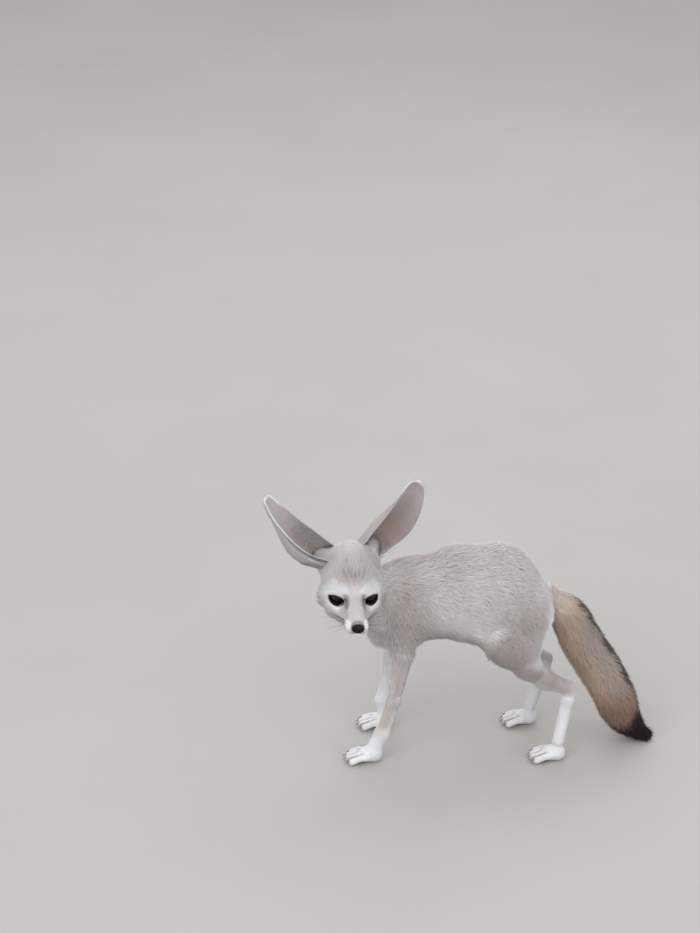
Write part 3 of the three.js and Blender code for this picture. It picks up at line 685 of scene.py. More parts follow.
def new_object(name, points, faces, material):
    """An object from places in millimetres and faces that all have as many corners."""
    mesh = bpy.data.meshes.new(name)
    co = (np.asarray(points, float) * MM + SHIFT).astype(np.float32)
    count, corners = faces.shape
    mesh.vertices.add(len(co))
    mesh.vertices.foreach_set("co", co.ravel())
    mesh.loops.add(count * corners)
    mesh.loops.foreach_set("vertex_index", faces.ravel().astype(np.int32))
    mesh.polygons.add(count)
    mesh.polygons.foreach_set("loop_start", np.arange(0, count * corners, corners, dtype=np.int32))
    mesh.polygons.foreach_set("use_smooth", np.ones(count, bool))
    mesh.update(calc_edges=True)
    mesh.validate()
    mesh.materials.append(material)
    made = bpy.data.objects.new(name, mesh)
    bpy.context.scene.collection.objects.link(made)
    return made


def normals_of(made):
    normals = np.zeros(len(made.data.vertices) * 3, np.float32)
    made.data.vertices.foreach_get("normal", normals)
    return normals.reshape(-1, 3)


def set_colours(made, colours):
    """The colour of each vertex, as light."""
    values = np.ones((len(colours), 4), np.float32)
    values[:, :3] = colours
    layer = made.data.attributes.new("coat_colour", "FLOAT_COLOR", "POINT")
    layer.data.foreach_set("color", values.ravel())


def set_numbers(made, numbers, name):
    layer = made.data.attributes.new(name, "FLOAT", "POINT")
    layer.data.foreach_set("value", np.asarray(numbers, np.float32))


def set_map(made, spots):
    """The map named OFBake, from one spot for each vertex."""
    layer = made.data.uv_layers.new(name="OFBake")
    corners = np.zeros(len(made.data.loops), np.int32)
    made.data.loops.foreach_get("vertex_index", corners)
    layer.data.foreach_set("uv", spots[corners].astype(np.float32).ravel())


BODY_BOX = (-128, -64, 17), (180, 64, 226)
PAW_BOX = at(-36, -19, -1), at(14, 19, 23)  # about the heel, its height from the floor
HEAD_BOX = at(-62, -52, -52), at(52, 62, 62)  # about the head's middle
HEAD_MIDDLE = -10
HEAD_END, NOSE_CUT = -64, 41.5  # where the head's surface ends in the neck, and at the nose
SOLE = 0.4


def skin_surface():
    """The body, the paws and the head as closed surfaces that run into each other."""
    body = Grid(*BODY_BOX, SHAPE_DETAIL)
    body.add(BODY_FORMS + TAIL_FORMS + HEAD_FORMS[:1])
    parts = [body]
    for leg in LEGS.values():
        heel = leg.heel * at(1, 1, 0)
        paw = Grid(*(heel + corner for corner in PAW_BOX), PAW_DETAIL)
        paw.add(leg.leg[-1:] + paw_forms(leg))
        paw.keep(lambda places: SOLE - places[..., 2])
        parts.append(paw)
    centre = in_head(HEAD_MIDDLE, 0, 0)
    head = Grid(*(centre + corner for corner in HEAD_BOX), HEAD_DETAIL)
    head.add(NECK + HEAD_FORMS + MOUND_FORMS)
    head.keep(lambda places: -(places - in_head(HEAD_END, 0, 0)) @ FACING)
    for hollow in ear_hollows():
        centre = (hollow.start + hollow.end) / 2
        head.keep(lambda places: -form_distance(hollow, places), centre - 34, centre + 34, hollow.melt)
    head.keep(lips_cut, melt=0.8)
    for side in (LEFT, RIGHT):
        cut_eye(head, side)
    head.keep(lambda places: (places - in_head(NOSE_CUT, 0, 0)) @ FACING)
    parts.append(head)
    points, faces, count = [], [], 0
    for part in parts:
        surface, quads = part.surface()
        points.append(surface)
        faces.append(quads + count)
        count += len(surface)
    return np.concatenate(points), np.concatenate(faces)


LIPS = {"forward": 16, "up": -18, "reach": math.radians(122), "rise": 0.16, "width": 1.3, "depth": 1.1}
LIPS_SHOWN = 0.62  # of the reach
UNCUT = 5.0  # the distance given to what a groove leaves as it is


def lips_cut(places):
    """A groove between the lips, round the muzzle."""
    forward, left, up = head_places(places)
    angle = np.abs(np.arctan2(left, forward - LIPS["forward"]))
    out = np.hypot(left, forward - LIPS["forward"])
    level = LIPS["up"] + out * LIPS["rise"] * (angle / LIPS["reach"]) ** 2
    deeper = np.maximum(-flesh(places, HEAD_FORMS) - LIPS["depth"], 0)
    groove = np.hypot(up - level, deeper) - LIPS["width"] / 2
    return -np.where(angle < LIPS["reach"] * LIPS_SHOWN, groove, UNCUT)


LID_RADIUS = 9.6
LID_SLANT = math.radians(5)
LID_DROP = 1.3  # of the opening's middle below the eye's
OPENING = (8.6, 4.0, 4.2)  # half of the width, and the heights above and below the middle
RIM = (9.9, 4.9, 5.1)  # the same of the black skin round it
LASHES = (9.4, 4.5, 4.9)  # where the coat stops
SHORT_FUR = (13, 8, 9)  # where it is short


def eye_axes(side):
    """The directions outwards, up and out of an eye."""
    look = gaze(side)
    upwards = unit(HEAD_UP - look * (HEAD_UP @ look))
    outwards = np.cross(upwards, look) * side
    upwards = turned(upwards, look, side * LID_SLANT)
    outwards = turned(outwards, look, side * LID_SLANT)
    return outwards, upwards, look


def almond(x, y, sizes):
    """The distance to an opening between two lids, below zero inside."""
    half, *peaks = sizes
    found = -FAR
    for peak, way in zip(peaks, (1, -1)):
        radius = (half ** 2 + peak ** 2) / (2 * peak)
        found = np.maximum(found, np.hypot(x, y * way - (peak - radius)) - radius)
    return found


def eye_places(places, side):
    """How far outwards, up and out of an eye each place is."""
    offsets = places - eye_centre(side)
    outwards, upwards, look = eye_axes(side)
    return offsets @ outwards, offsets @ upwards + LID_DROP, offsets @ look


def cut_eye(grid, side):
    centre = eye_centre(side)
    part, places = grid.places(centre - 16, centre + 16)
    x, y, z = eye_places(places, side)
    ball = np.linalg.norm(places - centre, axis=-1)
    values = melted(grid.values[part], ball - LID_RADIUS, 3.0)
    opening = np.maximum(almond(x, y, OPENING), 1 - z)
    values = -melted(-values, opening, 0.8)
    grid.values[part] = np.maximum(values, (EYE_RADIUS + 0.05) - ball)


def near_eyes(places, sizes, soft):
    """1 in the almond round each eye, fading to 0 outside."""
    found = np.zeros(places.shape[:-1])
    for side in (LEFT, RIGHT):
        x, y, z = eye_places(places, side)
        mask = fade(almond(x, y, sizes), -soft, soft) * (z > 0)
        mask = mask * (np.linalg.norm(places - eye_centre(side), axis=-1) < 15)
        found = np.maximum(found, mask)
    return found


# Shader maths

NOISE_DETAIL = 3.0


class Value:
    """A node's output, with maths written as expressions."""

    def __init__(self, finish, socket):
        self.finish, self.socket = finish, socket

    def _maths(self, operation, *others):
        sockets = {n: other for n, other in enumerate((self,) + others)}
        return self.finish.node("ShaderNodeMath", {"operation": operation}, sockets)

    def __add__(self, other):
        return self._maths("ADD", other)

    def __mul__(self, other):
        return self._maths("MULTIPLY", other)

    __radd__ = __add__
    __rmul__ = __mul__


class Finish:
    """A material and the nodes that make it."""

    def __init__(self, name):
        self.material = bpy.data.materials.new(name)
        self.material.use_nodes = True
        self.tree = self.material.node_tree
        self.shader = self.tree.nodes["Principled BSDF"]

    def node(self, kind, settings, sockets, output=0):
        made = self.tree.nodes.new(kind)
        for key, value in settings.items():
            setattr(made, key, value)
        for key, value in sockets.items():
            self.join(made.inputs[key], value)
        return Value(self, made.outputs[output])

    def join(self, socket, value):
        if isinstance(value, Value):
            self.tree.links.new(value.socket, socket)
        else:
            socket.default_value = value

    def set(self, **sockets):
        for key, value in sockets.items():
            self.join(self.shader.inputs[key.replace("_", " ").title().replace("Ior", "IOR")], value)

    def mix(self, share, a, b):
        return self.node("ShaderNodeMix", {"data_type": "RGBA"}, {0: share, 6: a, 7: b}, 2)

    def attribute(self, name, output):
        return self.node("ShaderNodeAttribute", {"attribute_name": name}, {}, output)

    def grain(self, kind, output, **sockets):
        """A pattern that is fixed to the object."""
        place = self.node("ShaderNodeTexCoord", {}, {}, "Object")
        return self.node(kind, {}, {"Vector": place, **sockets}, output)

    def noise(self, scale):
        return self.grain("ShaderNodeTexNoise", "Fac", Scale=scale, Detail=NOISE_DETAIL)

    def bump(self, height, strength, distance):
        sockets = {"Strength": strength, "Distance": distance, "Height": height}
        return self.node("ShaderNodeBump", {}, sockets, "Normal")


def scaled(finish, colour, share):
    """A colour made lighter or darker by a value."""
    settings = {"operation": "SCALE"}
    return finish.node("ShaderNodeVectorMath", settings, {0: colour, "Scale": share}, 0)


def coat_finish():
    finish = Finish("coat")
    colour = finish.attribute("coat_colour", "Color")
    share = finish.attribute("along", "Fac")
    vary = finish.attribute("vary", "Fac")
    lit = scaled(finish, colour, (share * 0.2 + 0.84) * (vary * 0.26 + 0.87))
    finish.set(base_color=lit, roughness=0.85, specular_ior_level=0.15, sheen_weight=0.1, sheen_roughness=0.5)
    return finish.material


def skin_finish():
    finish = Finish("skin")
    colour = finish.attribute("coat_colour", "Color")
    grain = finish.noise(900)
    lit = scaled(finish, colour, grain * 0.3 + 0.7)
    uneven = finish.bump(grain, 0.5, 0.0006)
    finish.set(base_color=lit, roughness=0.88, normal=uneven, specular_ior_level=0.15)
    return finish.material


def eye_finish():
    finish = Finish("eye")
    iris = finish.attribute("iris", "Fac")
    grain = finish.noise(700)
    brown = finish.mix(grain, (0.008, 0.0045, 0.0025, 1), (0.012, 0.007, 0.004, 1))
    colour = finish.mix(iris, (0.003, 0.0025, 0.002, 1), brown)
    finish.set(base_color=colour, roughness=0.07, specular_ior_level=0.28)
    return finish.material


def nose_finish():
    finish = Finish("nose")
    grain = finish.grain("ShaderNodeTexVoronoi", "Distance", Scale=1400)
    colour = finish.mix(grain, (0.004, 0.0038, 0.0036, 1), (0.012, 0.011, 0.01, 1))
    uneven = finish.bump(grain, 0.45, 0.0004)
    finish.set(base_color=colour, roughness=grain * 0.25 + 0.35, normal=uneven, specular_ior_level=0.16)
    return finish.material


def plain_finish(name, low, high, scale, roughness):
    finish = Finish(name)
    grain = finish.noise(scale)
    colour = finish.mix(grain, (*low, 1), (*high, 1))
    finish.set(base_color=colour, roughness=grain * 0.15 + roughness)
    return finish.material


# Tufts

Tufts = namedtuple("Tufts", "root out lie length width start_angle end_angle colour map")
FORM_BLEND = 3.0  # mm over which one form's coat passes into the next one's
TUFT_SUNK = 0.5  # mm of each tuft in the skin
TUFT_SWAY = 0.12
TUFT_RIDGE = 0.7  # height of its ridge, of half its width


def form_mixture(points, forms, values):
    """Values of the forms, blended by how near each is to the points."""
    distances = np.stack([form_distance(one, points) for one in forms], -1)
    weights = np.exp(-(distances - distances.min(-1, keepdims=True)) / FORM_BLEND)
    return weights @ values / weights.sum(-1, keepdims=True)


def coat_lie(points, outwards, forms):
    lie = form_mixture(points, forms, np.array([one.lie for one in forms]))
    lie = lie - outwards * dot(lie, outwards)[:, None]
    return unit(lie)


def tuft_mesh(tufts, rng, rings):
    """Closed three-sided blades that bend down along the lie."""
    count = len(tufts.root)
    shares = np.arange(rings) / rings
    angles = [mix(tufts.start_angle, tufts.end_angle, (n + 0.5) / rings) for n in range(rings)]
    across = unit(np.cross(tufts.out, tufts.lie))
    place = tufts.root - tufts.out * TUFT_SUNK
    points = np.zeros((count, 3 * rings + 1, 3))
    step = (tufts.length / rings)[:, None]
    sway = rng.normal(0, TUFT_SWAY, count)[:, None]
    for n in range(rings):
        ahead = tufts.lie * np.cos(angles[n])[:, None] + tufts.out * np.sin(angles[n])[:, None]
        ahead = unit(ahead + across * sway * (n + 1))
        above = unit(np.cross(ahead, across))
        above *= np.sign(dot(above, tufts.out))[:, None]
        taper = min(1.0, 0.75 + 0.5 * shares[n]) * math.sqrt(1 - shares[n] ** 2)
        half = (tufts.width / 2 * taper)[:, None]
        points[:, 3 * n] = place - across * half
        points[:, 3 * n + 1] = place + across * half
        points[:, 3 * n + 2] = place + above * half * TUFT_RIDGE
        place = place + ahead * step
    points[:, -1] = place
    points[..., 2] = np.maximum(points[..., 2], LEAST_HEIGHT)
    faces = [(2, 1, 0)]
    for n in range(rings - 1):
        for c in range(3):
            a, b = 3 * n + c, 3 * n + (c + 1) % 3
            faces += [(b, a + 3, a), (b + 3, a + 3, b)]
    base = 3 * (rings - 1)
    faces += [(base + (c + 1) % 3, 3 * rings, base + c) for c in range(3)]
    faces = np.array(faces)[None] + (np.arange(count) * (3 * rings + 1))[:, None, None]
    along = np.repeat(np.append(np.repeat(shares, 3), 1.0)[None], count, 0)
    return points.reshape(-1, 3), faces.reshape(-1, 3), along.ravel()


PATCH = 0.003  # each tuft's own spot on the coat's map
LEAST_HEIGHT = 0.4  # of the coat over the floor
SOFTNESS = 0.65  # how far a tuft is shaded as the skin under it
EDGE_SOFTNESS = 0.4  # the same on the ears and the head, where the far side shows at the edge
RIM_SOFTNESS = 0.15  # the same for the hairs at the ears' rims, seen from both sides


def soften(made, outwards, lies, softness):
    """Turns the directions that a coat is shaded by towards those of the skin under it."""
    own = normals_of(made)
    own = own - lies * dot(own, lies)[:, None]
    mixed = unit(mix(own, outwards, softness))
    made.data.normals_split_custom_set_from_vertices(mixed)


def add_coat(name, tufts, rng, rings, softness=SOFTNESS):
    points, faces, along = tuft_mesh(tufts, rng, rings)
    made = new_object(name, points, faces, MATERIALS["coat"])
    per = 3 * rings + 1
    set_colours(made, np.repeat(tufts.colour, per, 0))
    soften(made, np.repeat(tufts.out, per, 0), np.repeat(tufts.lie, per, 0), softness)
    set_numbers(made, along, "along")
    set_numbers(made, np.repeat(rng.random(len(tufts.root)), per), "vary")
    corners = np.tile([(0.0, 0.0), (1.0, 0.0), (0.5, 0.5)], (rings, 1)) * PATCH
    rows = np.repeat(np.arange(rings) / rings, 3) * PATCH
    patch = np.vstack([np.stack([corners[:, 0], rows + corners[:, 1] * 0.2], -1), (PATCH / 2, PATCH)])
    set_map(made, np.repeat(tufts.map, per, 0) + np.tile(patch - PATCH / 2, (len(tufts.root), 1)))
    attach(made, "root")


MATERIALS = {}
SKIN = {}


def tone_table(props):
    """The colour settings by name, as arrays."""
    names = [name for name in FennecSettings.__annotations__ if name != "density"]
    return {name: np.array(getattr(props, name)) for name in names}


def region_names(points):
    """Which part of the coat's map each place belongs to."""
    shoulders = [one for leg in LEGS.values() for one in leg.shoulder]
    groups = {
        "trunk": TRUNK + shoulders, "neck": NECK, "head": HEAD_FORMS + MOUND_FORMS, "tail": TAIL_FORMS,
        **{name: leg.leg + paw_forms(leg) for name, leg in LEGS.items()},
    }
    distances = [np.min([form_distance(one, points) for one in forms], 0) for forms in groups.values()]
    return np.array(list(groups), dtype=object)[np.argmin(distances, 0)]


def mapped(points, names):
    spots = np.zeros((len(points), 2))
    for name in set(names):
        here = names == name
        spots[here] = unrolled(points[here], name)
    return spots


# Settings

def colour_setting(name, text, description):
    return bpy.props.FloatVectorProperty(
        name=name, description=description, default=tuple(sheet_colour(text)),
        size=3, min=0, max=1, subtype="COLOR")


class FennecSettings(bpy.types.PropertyGroup):
    cream: colour_setting("Cream", "d5d0ce", "Flanks and face")
    tan: colour_setting("Tan", "d1cac7", "Back, shoulders and forehead")
    taupe: colour_setting("Taupe", "b1a6a1", "Shoulders, thighs and cheeks")
    white: colour_setting("White", "f0f1f3", "Brows, cheeks, belly and feet")
    strip: colour_setting("Foreleg", "b9a798", "Strip down the outside of the forelegs")
    brown: colour_setting("Brown", "5b4e49", "Marks under the eyes")
    grey: colour_setting("Grey", "aaa19f", "Along the back and tail")
    cinnamon: colour_setting("Cinnamon", "bea794", "Brush of the tail")
    rust: colour_setting("Rust", "8c6e61", "Lower part of the brush")
    dark: colour_setting("Dark", "211c1b", "Tip of the tail and rims of the eyes")
    ear: colour_setting("Ear", "c6bebb", "Bare skin inside the ears")
    ear_base: colour_setting("Ear base", "bfaca4", "Skin deep in the ears")
    density: bpy.props.FloatProperty(
        name="Density", description="How closely the tufts stand",
        default=1.0, min=0.2, max=1.5, subtype="FACTOR")


class FENNEC_OT_skin(bpy.types.Operator):
    """One skin for the head, body, legs and tail"""
    bl_idname = "fennec.skin"
    bl_label = "Skin"

    def execute(self, context):
        tones = tone_table(context.scene.fennec)
        MATERIALS["coat"] = coat_finish()
        MATERIALS["skin"] = skin_finish()
        points, faces = skin_surface()
        made = new_object("skin", points, faces, MATERIALS["skin"])
        normals = normals_of(made).astype(float)
        SKIN.update(points=points, faces=faces)
        names = region_names(points)
        set_colours(made, markings(points, normals, names, tones))
        set_map(made, mapped(points, names))
        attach(made, "root")
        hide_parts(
            "torso", "neck", "head", "tail", *LEGS, *(name.replace("leg", "paw") for name in LEGS))
        return {"FINISHED"}


# For each depth of coat, the gap between tufts and their width.
DEPTHS = (0.6, 1.5, 3.0, 5.0)
GAPS = (0.66, 0.72, 0.85, 1.05)
WIDTHS = (0.4, 0.48, 0.62, 0.8)
FUR_LENGTH = (2.3, 0.7)  # for each millimetre of the coat's depth, and the least
SHORTER = 0.6  # near the eyes
FUR_ANGLES = {1: 18, 2: 34}  # degrees off the skin at the root, by rings
FUR_END = 8  # the same at the tip
PAW_TOP = 26
FACE_START = -12  # forward of it is the face, behind it the crown
BARE_NOSE = (38.5, 6.6)  # how far forward it starts, and its radius
BARE_BALL = 0.6  # round each eyeball


def grows(roots):
    """Where fur grows: not on the soles, in the eyes or on the nose."""
    forward, left, up = head_places(roots)
    clear = roots[:, 2] > 1.0
    for side in (LEFT, RIGHT):
        x, y, z = eye_places(roots, side)
        apart = np.linalg.norm(roots - eye_centre(side), axis=-1)
        clear &= ~((almond(x, y, LASHES) < 0) & (z > 0) & (apart < 14))
        clear &= apart > EYE_RADIUS + BARE_BALL
    nose_start, nose_radius = BARE_NOSE
    return clear & ((forward < nose_start) | (np.hypot(left, up - NOSE_UP) > nose_radius))


class FENNEC_OT_body_coat(bpy.types.Operator):
    """Short fur over the head, body and legs"""
    bl_idname = "fennec.body_coat"
    bl_label = "Body coat"

    def execute(self, context):
        settings = context.scene.fennec
        tones = tone_table(settings)
        rng = np.random.default_rng(11)
        points, faces = SKIN["points"], SKIN["faces"]
        centres = points[faces].mean(1)
        names = region_names(centres)
        depth = form_mixture(centres, ALL_FORMS, np.array([[one.coat] for one in ALL_FORMS]))[:, 0]
        x, y, z = centres.T
        face = head_places(centres)[0] >= FACE_START
        trunk = (names == "trunk") | ((names == "tail") & (z > TAIL_TOP))
        head, paw = names == "head", z < PAW_TOP
        fore = np.isin(names, ("foreleg_left", "foreleg_right"))
        hind = np.isin(names, ("hindleg_left", "hindleg_right"))
        groups = {
            "coat_shoulder_left": (trunk & (y < 0) & (x < 0), 2),
            "coat_shoulder_right": (trunk & (y >= 0) & (x < 0), 2),
            "coat_haunch_left": (trunk & (y < 0) & (x >= 0), 2),
            "coat_haunch_right": (trunk & (y >= 0) & (x >= 0), 2),
            "coat_neck": (names == "neck", 2),
            "coat_crown": (head & ~face, 1),
            "coat_face": (head & face, 1),
            "coat_forelegs": (fore & ~paw, 1),
            "coat_hindlegs": (hind & ~paw, 1),
            "coat_paws": ((fore | hind) & paw, 1),
        }
        for name, (chosen, rings) in groups.items():
            roots, quad = self.scattered(points, faces[chosen], depth[chosen], settings.density, rng)
            keep = grows(roots)
            roots, quad = roots[keep], quad[keep]
            deep, part = depth[chosen][quad], names[chosen][quad]
            out = slope(roots, ALL_FORMS)
            lie = coat_lie(roots, out, ALL_FORMS)
            swirl = 0.12 * ripple(roots, 17, 21) + rng.normal(0, 0.13, len(roots))
            lie = unit(lie + np.cross(out, lie) * swirl[:, None])
            count = len(roots)
            length = (deep * FUR_LENGTH[0] + FUR_LENGTH[1]) * rng.uniform(0.8, 1.15, count)
            length *= 1 - SHORTER * near_eyes(roots, SHORT_FUR, 2.0)
            width = np.interp(deep, DEPTHS, WIDTHS) * rng.uniform(0.8, 1.2, count)
            start = np.radians(rng.normal(FUR_ANGLES[rings], 4, count))
            end = np.radians(rng.normal(FUR_END, 5, count))
            colour = markings(roots, out, part, tones)
            tufts = Tufts(roots, out, lie, length, width, start, end, colour, mapped(roots, part))
            softness = EDGE_SOFTNESS if name in ("coat_crown", "coat_face") else SOFTNESS
            add_coat(name, tufts, rng, rings, softness)
        return {"FINISHED"}

    def scattered(self, points, faces, depth, density, rng):
        """Places spread over four-sided faces, and the face of each."""
        a, b, c, d = (points[faces[:, n]] for n in range(4))
        area = np.linalg.norm(np.cross(c - a, d - b), axis=-1) / 2
        wanted = area * density / np.interp(depth, DEPTHS, GAPS) ** 2
        number = np.floor(wanted + rng.random(len(area))).astype(int)
        quad = np.repeat(np.arange(len(area)), number)
        s, t = rng.random((2, len(quad), 1))
        return mix(mix(a[quad], b[quad], s), mix(d[quad], c[quad], s), t), quad


TAIL_PARTS = (("coat_tail_upper", 0.0, 0.46), ("coat_tail_lower", 0.46, 0.985))
TAIL_TUFTS = 8500
TAIL_LENGTH = 210
TAIL_HAIR = (4, 22)
TIP_HAIR = 200  # length of the hair for the share of the tail that is left below it
TAIL_ACROSS = at(0, 1, 0)


class FENNEC_OT_tail_coat(bpy.types.Operator):
    """Long fur of the brush"""
    bl_idname = "fennec.tail_coat"
    bl_label = "Tail coat"

    def execute(self, context):
        settings = context.scene.fennec
        tones = tone_table(settings)
        rng = np.random.default_rng(12)
        for name, low, high in TAIL_PARTS:
            count = int(TAIL_TUFTS * settings.density)
            share = rng.uniform(low, high, count)
            angle = rng.uniform(0, 2 * math.pi, count)
            middle, along = tail_place(share)
            rear = unit(np.cross(TAIL_ACROSS, along))
            out = unit(rear * np.cos(angle)[:, None] + TAIL_ACROSS * np.sin(angle)[:, None])
            inner = tail_flesh(share) * 0.95
            roots = middle + out * inner[:, None]
            length = np.clip((1.0 - share) * TIP_HAIR, *TAIL_HAIR) * rng.uniform(0.7, 1.05, count)
            reach = np.clip(share + length / TAIL_LENGTH, 0, 1)
            rise = tail_radius(reach) * rng.uniform(0.88, 1.04, count) - inner
            slant = np.arcsin(np.clip(rise / length, -0.5, 0.7))
            swirl = 0.12 * ripple(roots, 24, 22) + rng.normal(0, 0.09, count)
            lie = unit(along + np.cross(out, along) * swirl[:, None])
            colour = markings(roots, out, np.full(count, "tail"), tones)
            width = rng.uniform(0.8, 1.25, count)
            spots = unrolled(roots, "tail")
            values = (roots, out, lie, length, width, slant * 1.6, slant * 0.4, colour, spots)
            keep = roots[:, 2] > 2
            add_coat(name, Tufts(*(value[keep] for value in values)), rng, rings=3)
        return {"FINISHED"}


EAR_SKIN = 0.96  # the sheet of skin, as a share of the ear with its fur
EASING = (-1, -0.5, 0, 0.5, 1)  # heights over which the outline is averaged, as shares of the reach
EAR_REACH = 0.11
EAR_ROWS, EAR_COLUMNS = 70, 49
EAR_TOP = 0.985


def ear_sheet(ear, height, column):
    """Places on an ear's sheet by height and across, the way into its cup, up it and across it."""
    base, along, mouth, outwards = ear_frame(ear)

    def profile(height, values):
        reach = EAR_REACH * np.clip((1 - height) * 3, 0, 1)
        return sum(np.interp(height + reach * n, EAR_HEIGHTS, values) for n in EASING) / len(EASING)

    def middle(height, column):
        half, depth = profile(height, EAR_MOUTHS) * EAR_SKIN, profile(height, EAR_DEPTHS)
        radius, curl = (half ** 2 + depth ** 2) / (2 * depth), 2 * np.arctan(depth / half)
        across = EAR_BOW * np.sin(math.pi * height) + ear.side * radius * np.sin(curl * column)
        ahead = radius * (np.cos(curl) - np.cos(curl * column))
        place = base + along * (EAR_LENGTH * height)[..., None] + outwards * across[..., None]
        return place + mouth * ahead[..., None]

    up = middle(np.minimum(height + 0.01, 1), column) - middle(np.minimum(height, 0.99), column)
    over = middle(height, column + 0.01) - middle(height, column - 0.01)
    return middle(height, column), unit(np.cross(over, up)), unit(up), unit(over)


def sheet_half(column):
    return EAR_SHEET / 2 * (1 - 0.45 * np.abs(column) ** 3)


def ear_rim(height, lateral):
    """1 on the white edge: all up the outer side, and round the tip to the inner side."""
    edge = mix(0.74, 0.87, smooth(height, 0.05, 0.4))
    outer = smooth(lateral, edge, edge + 0.07)
    inner = smooth(-lateral, 0.84, 0.93) * smooth(height, 0.72, 0.86)
    return np.clip(outer + inner + smooth(height, 0.94, 0.975), 0, 1)[..., None]


def ear_inside(height, lateral, tones):
    shade = np.broadcast_to(tones["ear"], height.shape + (3,))
    deep = fade(height, 0.16, 0.46) * fade(np.abs(lateral - 0.1), 0.45, 0.85)
    shade = mix(shade, tones["ear_base"], deep[..., None])
    pale = smooth(-lateral, 0.45, 0.95) * fade(height, 0.3, 0.6)
    shade = mix(shade, tones["tan"], 0.7 * pale[..., None])
    return mix(shade, tones["white"], ear_rim(height, lateral))


def ear_back(height, lateral, tones):
    shade = np.broadcast_to(mix(tones["cream"], tones["grey"], 0.25), height.shape + (3,))
    shade = mix(shade, tones["ear"], 0.85 * smooth(-lateral, 0.35, 0.75)[..., None])
    return mix(shade, tones["white"], ear_rim(height, lateral))


EarHair = namedtuple("EarHair", "number heights columns length width start end")
EAR_HAIR = {
    "back": EarHair(14000, (-0.06, 0.95), (-0.97, 0.97), (2.2, 3.6), (0.42, 0.65), 26, 6),
    "inside": EarHair(3400, (-0.02, 0.97), (-1, 1), (2.0, 4.0), (0.25, 0.4), 26, 8),
    "rim": EarHair(6000, (0.0, 0.99), (0.9, 1.0), (1.6, 2.8), (0.4, 0.6), 30, 10),
    "wisps": EarHair(700, (-0.02, 0.4), (-1.0, -0.6), (6, 12), (0.28, 0.42), 34, 14),
    "ruff": EarHair(2400, (-0.1, 0.14), (-0.4, 0.9), (3.5, 7), (0.45, 0.65), 28, 8),
    "base": EarHair(1500, (-0.1, 0.03), (-0.95, 0.95), (4, 9), (0.3, 0.5), 26, 6),
}


